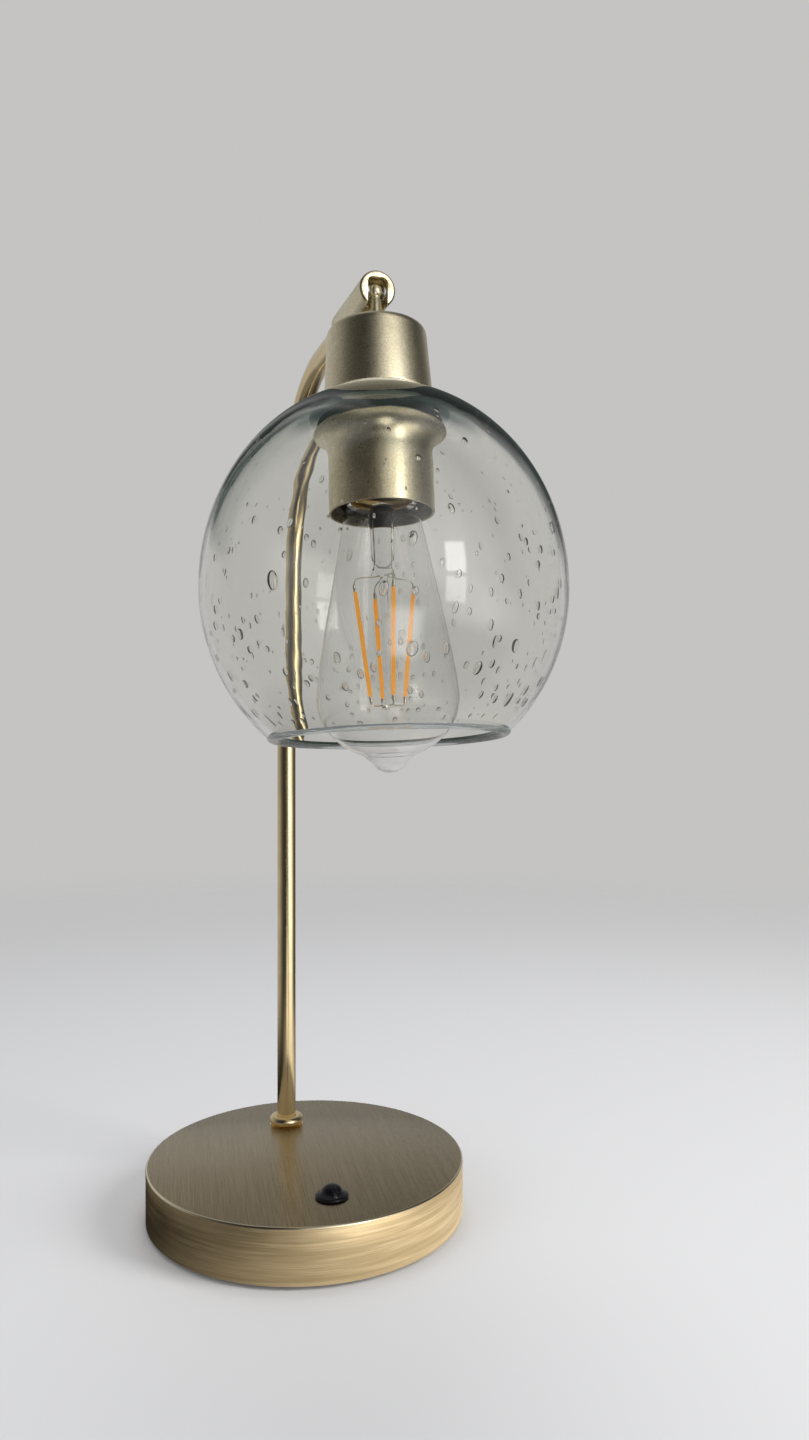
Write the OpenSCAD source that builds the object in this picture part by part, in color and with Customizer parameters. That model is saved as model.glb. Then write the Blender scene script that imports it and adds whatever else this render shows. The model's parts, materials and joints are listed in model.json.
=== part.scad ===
// Desk lamp: weighted disc base, bent tube arm, swivelling glass shade.
// Origin at the centre of the foot pad's underside, +Z up, the shade hangs towards -Y.
// Head pieces are drawn straight below the swivel's centre and then tilted together.

/* [Base] */
// Diameter of the base
base_d = 160; // [150:1:190]
// Height of the base cover, from its lower edge to its top face
cover_h = 25.9; // [25:0.1:32]
// Sheet thickness of the base cover
cover_t = 1.2; // [1:0.1:1.6]
// Bevel along the cover's top edge
cover_bevel = 0.8; // [0.4:0.1:1]
// Thickness of the foot pad
pad_t = 1.5; // [1:0.1:3]
// Distance from the base's edge in to the pad's edge
pad_inset = 4; // [3:0.5:8]
// Thickness of the bottom plate
plate_t = 1.5; // [1.5:0.1:2]
// Thickness of the iron weight
weight_t = 13; // [12:0.5:13]
// Gap between the weight's edge and the cover's skirt
weight_gap = 2.6; // [2.5:0.1:5]
// Distance from the base's edge in to the plate screws
plate_screw_in = 18; // [17:1:26]
// Thread diameter of the plate screws
plate_screw_d = 4; // [3:0.5:4]
// Diameter of the cast bosses that the plate screws enter
boss_d = 11; // [9:0.5:14]

/* [Arm] */
// Distance from the base's back edge in to the middle of the upright tube
stem_in = 33; // [30:1:38]
// Outside diameter of the arm tube
tube_d = 10; // [10:0.1:11]
// Wall of the arm tube
tube_wall = 1; // [0.8:0.1:1]
// Height of the tube's horizontal run above the surface the lamp stands on
arm_z = 423.5; // [380:1:470]
// Radius of the bend, to the tube's middle
bend_r = 82; // [60:1:95]
// Horizontal distance from the upright tube to the swivel
reach = 168; // [155:1:180]
// Diameter of the foot collar
collar_d = 18.5; // [16:0.5:24]
// Height of the foot collar
collar_h = 4.6; // [3:0.1:7]
// Outside diameter of the threaded nipple in the tube's foot
nipple_d = 7.9; // [7.5:0.1:8]
// Bore of the nipple
nipple_bore = 5.6; // [5.4:0.1:6]
// Height of the nipple inside the tube
nipple_up = 14; // [10:1:25]
// Length of the nipple below the weight
nipple_down = 7.5; // [7:0.1:8]
// Width of the stem nut across its flats
stem_nut_af = 14; // [13:0.5:17]
// Thickness of the stem nut
stem_nut_t = 4.5; // [3.5:0.1:5]
// Diameter of the flexible lead inside the tube
lead_d = 5.1; // [4.6:0.1:5.1]

/* [Swivel] */
// Outside diameter of the end sleeve
sleeve_d = 15; // [14.5:0.1:17]
// Length of the end sleeve
sleeve_l = 46; // [40:1:55]
// How far the sleeve runs on in front of the swivel's centre
sleeve_front = 4; // [3.6:0.1:5]
// How deep the tube sits in the sleeve
sleeve_grip = 22; // [15:1:24]
// Width of the slot in the sleeve
slot_w = 8.4; // [8.2:0.1:8.8]
// Height of the slot's roof above the swivel's centre
slot_up = 4.8; // [4.6:0.1:5.6]
// How far the slot runs back behind the swivel's centre
slot_back = 8; // [7.5:0.5:10]
// Diameter of the ball on the swivel stud
ball_d = 6.4; // [6.3:0.1:6.6]
// Diameter of the cross pin through the ball
pin_d = 2.4; // [2:0.1:2.5]
// Diameter of the stud's neck
neck_d = 5.8; // [5.5:0.1:6]
// Bore of the stud
stud_bore = 3.4; // [3.3:0.1:3.5]
// Forward tilt of the head as photographed, in degrees
head_tilt = 6; // [0:1:10]

/* [Socket cap and clamp] */
// Depth of the cap's top face below the swivel's centre
cap_top = 16.5; // [16:0.5:17]
// Diameter of the cap at its top
cap_d_top = 40.4; // [40.4:0.1:41.4]
// Diameter of the cap at its lower edge
cap_d_low = 43.6; // [43.2:0.1:44]
// Rounding of the cap's shoulder
cap_round = 3.5; // [2:0.5:5]
// Sheet thickness of the cap and of the retaining cup
cap_wall = 1; // [0.8:0.1:1]
// Thickness of the rubber ring between cap and glass
cap_gasket_t = 0.8; // [0.6:0.1:1.4]
// Diameter of the retaining cup's body
cup_d = 42; // [42:0.2:43]
// Diameter of the retaining cup's flared rim
flare_d = 54.6; // [52:0.2:57]
// Depth of the flared rim below the swivel's centre
flare_top = 57.2; // [56.6:0.1:58]
// Depth at which the flare has run out into the cup's straight body
flare_end = 68.5; // [66:0.5:72]
// Depth of the cup's mouth below the swivel's centre
cup_mouth = 92; // [90:0.5:94]
// Diameter of the rubber ring under the glass
under_ring_d = 58.8; // [57.4:0.1:60]

/* [Glass shade] */
// Largest outside diameter of the shade
shade_d = 144.4; // [138:0.2:152]
// Depth of the widest ring below the swivel's centre
shade_mid = 123; // [122.8:0.1:124]
// Half height of the shade's outside above its widest ring
shade_up = 80.5; // [80.2:0.1:81.2]
// Half height of the full oval below the widest ring, before the rim cuts it
shade_low = 76; // [72:0.5:80]
// Depth of the rim below the swivel's centre
shade_rim = 180.5; // [176:0.5:184]
// Wall of the glass
glass_t = 2.8; // [2.4:0.1:3.2]
// Extra thickness of the glass round its top hole
glass_top_extra = 1.7; // [1.4:0.1:1.8]
// Diameter of the top hole
shade_hole_d = 41; // [40.4:0.1:41.4]
// Diameter of the flat ground land round the hole
shade_land_d = 46; // [45.6:0.1:47]

/* [Lampholder] */
// Depth of the lampholder's top face below the swivel's centre
holder_top = 32; // [31.5:0.5:34]
// Diameter of the lampholder's upper part
holder_neck_d = 32; // [30:0.5:33]
// Depth of the shoulder where the lampholder widens
holder_shoulder = 56; // [54:0.5:57]
// Depth of the lampholder's open end
holder_mouth = 88.5; // [87:0.5:90]
// Bore of the lampholder for the screw shell
holder_bore = 29.2; // [28.6:0.1:30]
// Wider bore at the open end
holder_lip_bore = 33; // [31:0.5:34]
// Thickness of the bracket's steel strip
bracket_t = 1.2; // [1:0.1:1.4]
// Width of the bracket's steel strip
bracket_w = 9; // [8:0.5:10]
// Distance of the bracket's legs from the middle
bracket_leg_at = 12.5; // [12:0.1:13]
// Diameter of the insulated wires in the head
wire_d = 1.4; // [1:0.1:1.4]

/* [Bulb] */
// Depth of the bulb's tip contact below the swivel's centre
bulb_contact_at = 59; // [58.6:0.1:60]
// Length of the bulb from its contact to the end of its nipple
bulb_l = 136.2; // [134:0.5:140]
// Diameter of the bulb's screw shell
bulb_shell_d = 26.4; // [26:0.1:26.4]
// Length from the bulb's contact to the lower end of its screw shell
bulb_shell_l = 28; // [27.8:0.1:28.4]
// Length from the bulb's widest ring to the end of its nipple
bulb_round_l = 29.5; // [27:0.5:32]
// Length of the sweep by which the bulb's flank leaves its neck
bulb_flank_l = 30; // [20:1:34]
// Length from the bulb's contact to the pinch of its glass mount
mount_l = 54; // [48:1:56]
// Length from the bulb's contact to the filaments' tops
filament_at = 64; // [62:0.5:66]
// Largest diameter of the bulb's glass
bulb_d = 56; // [52:0.5:60]
// Diameter of the bulb's glass where it leaves the screw shell
bulb_neck_d = 28.4; // [27:0.2:30]
// Wall of the bulb's glass
bulb_wall = 0.8; // [0.6:0.1:1]
// Diameter of the nipple at the bulb's end
nipple_glass_d = 15.4; // [12:0.2:17]
// Length of each filament stick
filament_l = 44; // [38:0.5:45]
// Diameter of each filament stick
filament_d = 1.8; // [1.4:0.1:2.4]
// Distance of the filaments' tops from the bulb's axis
filament_top_r = 12; // [9:0.5:14]
// Distance of the filaments' lower ends from the bulb's axis
filament_low_r = 7; // [5:0.5:8]

/* [Switch] */
// Distance from the base's front edge in to the middle of the switch
switch_in = 28; // [25:1:31]
// Diameter of the knob's skirt
knob_d = 15.8; // [15:0.1:19]
// Height of the knob
knob_h = 6.2; // [5.9:0.1:9]
// Diameter of the knob's hub at mid height
knob_hub_d = 9.4; // [8.6:0.1:10.4]
// Width of the knob's grip bar
knob_bar_w = 2.6; // [2:0.1:3.4]
// Diameter of the switch's shaft
shaft_d = 4; // [3.4:0.1:4.2]
// Diameter of the switch's case
switch_d = 22; // [20:0.5:23]
// Height of the switch's case
switch_h = 11; // [10.5:0.1:12]
// Diameter of the switch's threaded bush
bush_d = 8.4; // [7.6:0.1:8.8]

/* [Cord outlet] */
// Bore of the bushing that the mains cord comes out of
outlet_bore = 6.2; // [5:0.1:6.6]
// Diameter of the bushing's flanges
outlet_flange_d = 9.4; // [9:0.1:9.6]
// Thickness of the bushing's outer flange
outlet_flange_t = 1.8; // [1.2:0.1:3]

/* [Hidden] */

// Clearances
slip = 0.1;        // diametral room of a shaft or pin that turns
seat = 0.2;        // diametral room of a piece that only passes through
near = 0.3;        // gap between pieces that stay apart
press_gap = 0.05;  // gap between two seated curved faces
thread_gap = 0.1;  // diametral room of a screw in its thread
over = 1;          // how far a cutting tool runs past a face

// Base levels and places
base_r = base_d/2;
base_top = pad_t + cover_h;
plate_top = pad_t + plate_t;
weight_top = base_top - cover_t;
weight_low = weight_top - weight_t;
skirt_in = base_r - cover_t;
weight_r = skirt_in - weight_gap;
stem_y = base_r - stem_in;
switch_y = switch_in - base_r;
plate_screw_at = base_r - plate_screw_in;
plate_screw_angles = [45, 135, 225, 315];
plate_screw_l = 9;
plate_head_r = plate_screw_d*0.94;
drive_w = 0.8;
stem_washer_t = 1;
stem_washer_d = stem_nut_af + 3;

// Arm
tube_bore = tube_d - 2*tube_wall;
pivot_y = stem_y - reach;
sleeve_tip_y = pivot_y - sleeve_front;
sleeve_tail_y = sleeve_tip_y + sleeve_l;
tube_end_y = sleeve_tail_y - sleeve_grip;
lead_low = weight_low - nipple_down + 0.5;
lead_end_y = pivot_y + slot_back + 2;
sleeve_bevel = 0.7;
slot_round = 2.2;
set_screw_d = 3;
set_screw_y = sleeve_tail_y - 10;
pin_head_d = pin_d + 2;
pin_head_t = 1.2;
pin_blind = 1.3;
ball_flat = ball_d - 0.4;
washer_t = (slot_w - ball_flat)/2 - slip;

// Stud and cap
groove_d = 4.3;
stud_flange_d = 10;
stud_flange_t = 1.2;
stud_thread_d = 6;
stud_end = cap_top + 9;
stud_exit = 7;
bracket_top = cap_top + cap_wall;
stud_nut_af = 10;
stud_nut_t = 4;
cap_screw_d = 3;

// Glass, gasket and cup levels
land_r = shade_land_d/2;
hole_r = shade_hole_d/2;
outer_r = shade_d/2;
inner_r = outer_r - glass_t;
inner_up = shade_up - glass_t - glass_top_extra;
inner_low = shade_low - glass_t;
under_land_r = hole_r + 3.5;
land_top = shade_mid - shade_up*sqrt(1 - pow(land_r/outer_r, 2));
land_under = shade_mid - inner_up*sqrt(1 - pow(under_land_r/inner_r, 2));
rim_out_r = outer_r*sqrt(1 - pow((shade_rim - shade_mid)/shade_low, 2));
rim_in_r = inner_r*sqrt(1 - pow((shade_rim - shade_mid)/inner_low, 2));
cap_bottom = land_top - cap_gasket_t;
under_ring_r = under_ring_d/2;
gasket_in_r = hole_r + 0.7;
cup_r = cup_d/2;
cup_in_r = cup_r - cap_wall;
flare_r = flare_d/2;
holder_r = cup_in_r - seat;
profile_steps = 40;

// Lampholder and bulb levels
holder_floor = bulb_contact_at - 2;
holder_lip_at = holder_mouth - 4.5;
shell_t = 0.6;
shell_top = bulb_contact_at + 3;
shell_end = holder_lip_at - 0.5;
shell_out_r = holder_bore/2 - slip;
screw_head_t = 1.6;
terminal_at = 11;
holder_screw_at = 8.8;
bulb_shell_r = bulb_shell_d/2;
bulb_shell_top = bulb_contact_at + 6;
bulb_shell_end = bulb_contact_at + bulb_shell_l;
bulb_shell_t = 0.4;
bulb_neck_at = bulb_shell_end + 1.4;
bulb_tip = bulb_contact_at + bulb_l;
bulb_wide_at = bulb_tip - bulb_round_l;
bulb_dome = 24.4;
bulb_r = bulb_d/2;
nipple_r = nipple_glass_d/2;
nipple_at = bulb_wide_at + bulb_dome*sqrt(1 - pow(nipple_r/bulb_r, 2));
mount_neck_r = bulb_neck_d/2 - bulb_wall - near;
mount_top = bulb_shell_end + 2;
mount_pinch = bulb_contact_at + mount_l;
rod_r = 1.5;
filament_top = bulb_contact_at + filament_at;
filament_low = filament_top + sqrt(pow(filament_l, 2) - pow(filament_top_r - filament_low_r, 2));
rod_end = filament_low + 3.4;
support_d = 0.6;
support_top = filament_top - 4.5;
support_low = filament_low + 1.8;

// Switch and outlet
bush_up = 2.2;
bush_top = base_top + bush_up;
switch_nut_t = 1.6;
switch_nut_d = bush_d + 3;
knob_top = base_top + knob_h;
knob_hollow_d = switch_nut_d + 1.4;
knob_hollow_h = bush_up + 0.5;
shaft_top = knob_top - 1.2;
shaft_low = weight_top - 6.5;
cam_d = 8;
cam_t = 2;
shaft_flat = shaft_d/2 - 0.6;
outlet_z = plate_top + outlet_flange_d/2 + near;
outlet_body_d = outlet_bore + 1.8;
outlet_in_t = 2;
outlet_tip_y = base_r + outlet_flange_t;
outlet_tail_y = skirt_in - seat - outlet_in_t;
cap_len = 14;
cap_dia = 6.6;
flex_d = 1.8;

gold = "#c9a86a";
gold_dark = "#b08f58";
steel = "#a9abae";
iron = "#4a4b4d";
black = "#1c1c1e";
brass = "#c8a048";
clear = [0.78, 0.84, 0.86, 0.35];

// Points of an oval arc, in degrees from +X
function oval(cx, cy, rx, ry, from, to, n) =
    [for (i = [0:n]) let (a = from + (to - from)*i/n) [cx + rx*cos(a), cy + ry*sin(a)]];

// Points of a cubic curve through two ends with two handles
function curve(p0, p1, p2, p3, n) =
    [for (i = [0:n]) let (t = i/n, u = 1 - t)
        u*u*u*p0 + 3*u*u*t*p1 + 3*u*t*t*p2 + t*t*t*p3];

// A turned solid: points are [radius, depth below the origin]
module turned(points) {
    rotate_extrude($fn = 96) polygon([for (p = points) [p[0], -p[1]]]);
}

// Everything in the head hangs from the swivel's centre
module head() {
    translate([0, pivot_y, arm_z]) rotate([-head_tilt, 0, 0]) children();
}

// A round bar along X, Y or Z between two coordinates
module bar_x(d, from, to) {
    translate([from, 0, 0]) rotate([0, 90, 0]) cylinder(d = d, h = to - from, $fn = 48);
}
module bar_y(d, from, to) {
    translate([0, to, 0]) rotate([90, 0, 0]) cylinder(d = d, h = to - from, $fn = 64);
}
module bar_z(d, from, to) {
    translate([0, 0, from]) cylinder(d = d, h = to - from, $fn = 64);
}

// A hexagonal nut, hole included
module hex_nut(af, hole, h) {
    difference() {
        cylinder(d = af/cos(30), h = h, $fn = 6);
        translate([0, 0, -over]) cylinder(d = hole, h = h + 2*over, $fn = 48);
    }
}

// A straight stick between two points
module stick(from, to, d) {
    v = to - from;
    translate(from) rotate([0, acos(v[2]/norm(v)), atan2(v[1], v[0])])
        cylinder(d = d, h = norm(v), $fn = 24);
}

// A smooth line through a list of points, n steps from each point to the next
function smooth(p, n) = let (last = len(p) - 1) concat(
    [for (i = [0:last - 1]) let (a = p[max(i - 1, 0)], b = p[i], c = p[i + 1], d = p[min(i + 2, last)])
        for (k = [0:n - 1]) let (t = k/n)
            b + (c - a)*t/2 + (2*a - 5*b + 4*c - d)*t*t/2 + (3*b - a - 3*c + d)*t*t*t/2],
    [p[last]]);

// The line's direction at each of its points
function headings(p) = let (last = len(p) - 1)
    [for (i = [0:last]) let (v = p[min(i + 1, last)] - p[max(i - 1, 0)]) v/norm(v)];

// Side directions that turn with the line and never twist
function sides(h, side, i = 0) = i == len(h) ? [] :
    let (v = side - (side*h[i])*h[i], u = v/norm(v)) concat([u], sides(h, u, i + 1));

// A flexible wire of diameter d along a smooth line
module flex(points, d) {
    n = 8;
    line = smooth(points, 4);
    ahead = headings(line);
    across = sides(ahead, [0.3, 0.5, 0.8]);
    rings = len(line);
    function at(i, j) = i*n + j % n;
    polyhedron(
        [for (i = [0:rings - 1]) for (j = [0:n - 1])
            line[i] + d/2*(cos(360*j/n)*across[i] + sin(360*j/n)*cross(ahead[i], across[i]))],
        concat(
            [for (i = [0:rings - 2]) for (j = [0:n - 1]) [at(i, j), at(i + 1, j), at(i + 1, j + 1)]],
            [for (i = [0:rings - 2]) for (j = [0:n - 1]) [at(i, j), at(i + 1, j + 1), at(i, j + 1)]],
            [[for (j = [0:n - 1]) at(0, j)]],
            [[for (j = [n - 1:-1:0]) at(rings - 1, j)]]));
}

// Base

module base_cover() {
    color(gold) difference() {
        union() {
            bar_z(base_d, pad_t, base_top - cover_bevel);
            translate([0, 0, base_top - cover_bevel])
                cylinder(r1 = base_r, r2 = base_r - cover_bevel, h = cover_bevel, $fn = 96);
        }
        bar_z(2*skirt_in, pad_t - over, weight_top);
        translate([0, stem_y, 0]) bar_z(nipple_d + seat, base_top - 2*cover_t, base_top + over);
        translate([0, switch_y, 0]) bar_z(bush_d + seat, base_top - 2*cover_t, base_top + over);
        translate([0, 0, outlet_z]) bar_y(outlet_body_d + seat, base_r - 3*cover_t, base_r + over);
    }
}

module base_weight() {
    color(iron) difference() {
        union() {
            bar_z(2*weight_r, weight_low, weight_top);
            for (a = plate_screw_angles)
                rotate([0, 0, a]) translate([plate_screw_at, 0, 0])
                    bar_z(boss_d, plate_top, weight_low + over);
        }
        translate([0, stem_y, 0]) bar_z(nipple_d + 2*seat, weight_low - over, weight_top + over);
        translate([0, switch_y, 0]) bar_z(switch_d + 4*near, weight_low - over, weight_top + over);
        for (a = plate_screw_angles)
            rotate([0, 0, a]) translate([plate_screw_at, 0, 0])
                bar_z(plate_screw_d + thread_gap, plate_top - over, plate_top + plate_screw_l);
    }
}

module bottom_plate() {
    color(steel) difference() {
        bar_z(2*(skirt_in - near), pad_t, plate_top);
        for (a = plate_screw_angles)
            rotate([0, 0, a]) translate([plate_screw_at, 0, 0]) {
                bar_z(plate_screw_d + seat, pad_t - over, plate_top + over);
                translate([0, 0, pad_t])
                    cylinder(r1 = plate_head_r + seat, r2 = (plate_screw_d + seat)/2,
                        h = plate_t - seat, $fn = 48);
            }
    }
}

module foot_pad() {
    color(black) bar_z(base_d - 2*pad_inset, 0, pad_t);
}

module plate_screws() {
    slot_l = 2*plate_head_r - 1;
    color(steel) for (a = plate_screw_angles)
        rotate([0, 0, a]) translate([plate_screw_at, 0, 0]) difference() {
            union() {
                bar_z(plate_screw_d, pad_t, plate_top + plate_screw_l - near);
                translate([0, 0, pad_t])
                    cylinder(r1 = plate_head_r, r2 = plate_screw_d/2, h = plate_t - seat, $fn = 48);
            }
            // Cross recess
            for (turn = [0, 90]) translate([0, 0, pad_t]) rotate([0, 0, turn])
                cube([slot_l, drive_w, 2*drive_w], center = true);
        }
}

// Stem foot

module stem_collar() {
    ring_r = (collar_d - tube_d - seat)/4;
    color(gold) translate([0, stem_y, base_top]) difference() {
        rotate_extrude($fn = 96) {
            translate([(tube_d + seat)/2, 0])
                square([collar_d/2 - (tube_d + seat)/2, collar_h/2]);
            intersection() {
                translate([(tube_d + seat)/2 + ring_r, collar_h/2]) circle(r = collar_h/2, $fn = 48);
                translate([(tube_d + seat)/2, 0]) square([2*ring_r, collar_h]);
            }
        }
        translate([0, 0, -over]) cylinder(d = tube_d + seat, h = collar_h + 2*over, $fn = 96);
    }
}

module stem_nipple() {
    color(steel) translate([0, stem_y, 0]) difference() {
        bar_z(nipple_d, weight_low - nipple_down, base_top + nipple_up);
        bar_z(nipple_bore, weight_low - nipple_down - over, base_top + nipple_up + over);
    }
}

module stem_lock_washer() {
    color(steel) translate([0, stem_y, 0]) difference() {
        bar_z(stem_washer_d, weight_low - stem_washer_t, weight_low);
        bar_z(nipple_d + seat, weight_low - stem_washer_t - over, weight_low + over);
    }
}

module stem_nut() {
    color(steel) translate([0, stem_y, weight_low - stem_washer_t - stem_nut_t])
        hex_nut(stem_nut_af, nipple_d + thread_gap, stem_nut_t);
}

// Arm

module arm_path(outer, inner, foot, end_y) {
    translate([0, stem_y, 0]) difference() {
        bar_z(outer, foot, arm_z - bend_r);
        if (inner > 0) bar_z(inner, foot - over, arm_z - bend_r + over);
    }
    translate([0, stem_y - bend_r, arm_z - bend_r]) rotate([90, 0, 90])
        rotate_extrude(angle = 90, $fn = 128) translate([bend_r, 0]) difference() {
            circle(d = outer, $fn = 64);
            if (inner > 0) circle(d = inner, $fn = 64);
        }
    translate([0, 0, arm_z]) difference() {
        bar_y(outer, end_y, stem_y - bend_r);
        if (inner > 0) bar_y(inner, end_y - over, stem_y - bend_r + over);
    }
}

module arm_tube() {
    color(gold_dark) arm_path(tube_d, tube_bore, base_top, tube_end_y);
}

module arm_lead() {
    color("#e8e4da") arm_path(lead_d, 0, lead_low, lead_end_y);
}

module arm_sleeve() {
    roof = slot_up - slot_round;
    color(gold) translate([0, 0, arm_z]) difference() {
        union() {
            bar_y(sleeve_d, sleeve_tip_y + sleeve_bevel, sleeve_tail_y - sleeve_bevel);
            translate([0, sleeve_tip_y + sleeve_bevel, 0]) rotate([90, 0, 0])
                cylinder(d1 = sleeve_d, d2 = sleeve_d - 2*sleeve_bevel, h = sleeve_bevel, $fn = 64);
            translate([0, sleeve_tail_y - sleeve_bevel, 0]) rotate([-90, 0, 0])
                cylinder(d1 = sleeve_d, d2 = sleeve_d - 2*sleeve_bevel, h = sleeve_bevel, $fn = 64);
        }
        bar_y(tube_d + slip, tube_end_y, sleeve_tail_y + over);
        bar_y(lead_d + 2*near, pivot_y, tube_end_y + over);
        // Slot, open at the front and below, with rounded upper corners
        translate([-slot_w/2, sleeve_tip_y - over, -sleeve_d])
            cube([slot_w, sleeve_front + slot_back + over, sleeve_d + roof]);
        translate([-slot_w/2 + slot_round, sleeve_tip_y - over, 0])
            cube([slot_w - 2*slot_round, sleeve_front + slot_back + over, slot_up]);
        for (x = [-1, 1]) translate([x*(slot_w/2 - slot_round), 0, roof])
            bar_y(2*slot_round, sleeve_tip_y - over, pivot_y + slot_back);
        // Cross pin hole with its counterbore
        translate([0, pivot_y, 0]) {
            bar_x(pin_d + slip, -sleeve_d/2 + pin_blind, sleeve_d/2 + over);
            bar_x(pin_head_d + seat, sleeve_d/2 - pin_head_t - seat, sleeve_d/2 + over);
        }
        translate([0, set_screw_y, 0]) bar_z(set_screw_d + thread_gap, -sleeve_d, 0);
    }
}

module sleeve_set_screw() {
    low = -sleeve_d/2 + 0.3;
    high = -tube_d/2 - press_gap;
    color(steel) translate([0, set_screw_y, arm_z]) difference() {
        bar_z(set_screw_d, low, high);
        translate([0, 0, low - over]) cylinder(d = set_screw_d*0.55, h = over + 1, $fn = 6);
    }
}

module pivot_pin() {
    head_at = sleeve_d/2 - pin_head_t - seat;
    color(steel) translate([0, pivot_y, arm_z]) difference() {
        union() {
            bar_x(pin_d, -sleeve_d/2 + pin_blind + seat, head_at + 0.1);
            bar_x(pin_head_d, head_at, head_at + pin_head_t);
        }
        translate([head_at + pin_head_t, 0, 0]) cube([1, 0.7, pin_head_d - 1], center = true);
    }
}

module pivot_washers() {
    color(steel) translate([0, pivot_y, arm_z]) for (x = [-1, 1])
        translate([x*(ball_flat/2 + slip/2 + washer_t/2), 0, 0]) difference() {
            bar_x(pin_d + 2.8, -washer_t/2, washer_t/2);
            bar_x(pin_d + slip, -washer_t, washer_t);
        }
}

// Switch

module switch_body() {
    cam_room_h = cam_t + 2*near;
    color(black) translate([0, switch_y, 0]) difference() {
        union() {
            bar_z(switch_d, weight_top - switch_h, weight_top);
            bar_z(bush_d, weight_top - over, bush_top);
        }
        bar_z(shaft_d + slip, shaft_low - near, bush_top + over);
        bar_z(cam_d + 2*near, shaft_low + 1 - near, shaft_low + 1 - near + cam_room_h);
    }
}

module switch_terminals() {
    color(brass) translate([0, switch_y, weight_top - switch_h]) for (x = [-1, 1])
        translate([x*6 - 2, -0.4, -4.5]) difference() {
            cube([4, 0.8, 4.5]);
            translate([2, -over, 1.8]) rotate([-90, 0, 0]) cylinder(d = 1.4, h = 3, $fn = 24);
        }
}

module switch_nut() {
    color(steel) translate([0, switch_y, base_top]) difference() {
        cylinder(d = switch_nut_d, h = switch_nut_t, $fn = 64);
        translate([0, 0, -over]) cylinder(d = bush_d + thread_gap, h = switch_nut_t + 2*over, $fn = 48);
        for (a = [0, 90]) rotate([0, 0, a])
            translate([0, 0, switch_nut_t]) cube([switch_nut_d + over, 1.2, 1], center = true);
    }
}

module switch_shaft() {
    color(steel) translate([0, switch_y, 0]) difference() {
        union() {
            bar_z(shaft_d, shaft_low, shaft_top);
            bar_z(cam_d, shaft_low + 1, shaft_low + 1 + cam_t);
        }
        translate([shaft_flat, -shaft_d, bush_top + near]) cube([shaft_d, 2*shaft_d, knob_h]);
    }
}

module switch_knob() {
    skirt_h = 1.3;
    hub_h = 3.2;
    skirt_r = knob_d/2;
    hub_r = knob_hub_d/2;
    bar_r = skirt_r - 1.2;
    dome_h = knob_h - hub_h;
    // Bell outline: upright skirt, hollow flank, round dome
    outline = concat(
        [[0, near], [skirt_r - 0.3, near], [skirt_r, near + 0.3]],
        curve([skirt_r, skirt_h], [skirt_r - 0.2, skirt_h + 0.9],
            [hub_r + 0.6, hub_h - 0.9], [hub_r, hub_h], 8),
        oval(0, hub_h, hub_r, dome_h, 12, 90, 8));
    color(black) translate([0, switch_y, base_top]) difference() {
        union() {
            rotate_extrude($fn = 96) polygon(outline);
            intersection() {
                translate([-knob_bar_w/2, -bar_r, skirt_h]) cube([knob_bar_w, 2*bar_r, knob_h - skirt_h]);
                rotate([90, 0, 90]) translate([0, 0, -knob_bar_w]) linear_extrude(2*knob_bar_w)
                    polygon(concat([[bar_r, 0]], oval(0, skirt_h, bar_r, knob_h - skirt_h, 0, 180, 16),
                        [[-bar_r, 0]]));
            }
        }
        translate([0, 0, -over]) cylinder(d = knob_hollow_d, h = knob_hollow_h + over, $fn = 64);
        difference() {
            cylinder(d = shaft_d + thread_gap/2, h = knob_h - 1.2 + press_gap, $fn = 48);
            translate([shaft_flat + press_gap/2, -shaft_d, knob_hollow_h]) cube([shaft_d, 2*shaft_d, knob_h]);
        }
    }
}

// Cord outlet and wiring in the base

module cord_bushing() {
    color(black) translate([0, 0, outlet_z]) difference() {
        union() {
            bar_y(outlet_flange_d, base_r, outlet_tip_y);
            bar_y(outlet_body_d, outlet_tail_y, outlet_tip_y);
            bar_y(outlet_flange_d, outlet_tail_y, outlet_tail_y + outlet_in_t);
        }
        bar_y(outlet_bore, outlet_tail_y - over, outlet_tip_y + over);
    }
}

splice_at = [[-24, 8], [-14, 8], [24, 10]];
module splice_caps() {
    color("#d9cfae") for (p = splice_at)
        translate([p[0], p[1], plate_top + cap_dia/2 + press_gap]) difference() {
            union() {
                bar_y(cap_dia, 0, cap_len - cap_dia/2);
                translate([0, cap_len - cap_dia/2, 0]) sphere(d = cap_dia, $fn = 48);
            }
            bar_y(cap_dia - 2, -over, cap_len - cap_dia/2);
        }
}

module base_wires() {
    z = plate_top + cap_dia/2 + press_gap;
    low = plate_top + flex_d/2 + 2*near;
    tab_z = weight_top - switch_h - 3;
    color("#30302f") {
        // Switch to the first splice and to the third
        flex([[-6, switch_y + 1.4, tab_z], [-8, switch_y + 6, low + 2],
            [-24, -16, low], [-24, -4, z], [-24, 6, z]], flex_d);
        flex([[6, switch_y + 1.4, tab_z], [8, switch_y + 6, low + 2],
            [24, -16, low], [24, -4, z], [24, 8, z]], flex_d);
        // Through lead into the second splice
        flex([[-14, 6, z], [-14, -4, z], [-6, -14, low], [4, -12, low],
            [6, 0, low], [4, 24, low], [1, 38, low]], flex_d);
    }
}

// Head: stud, cap and bracket

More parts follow.
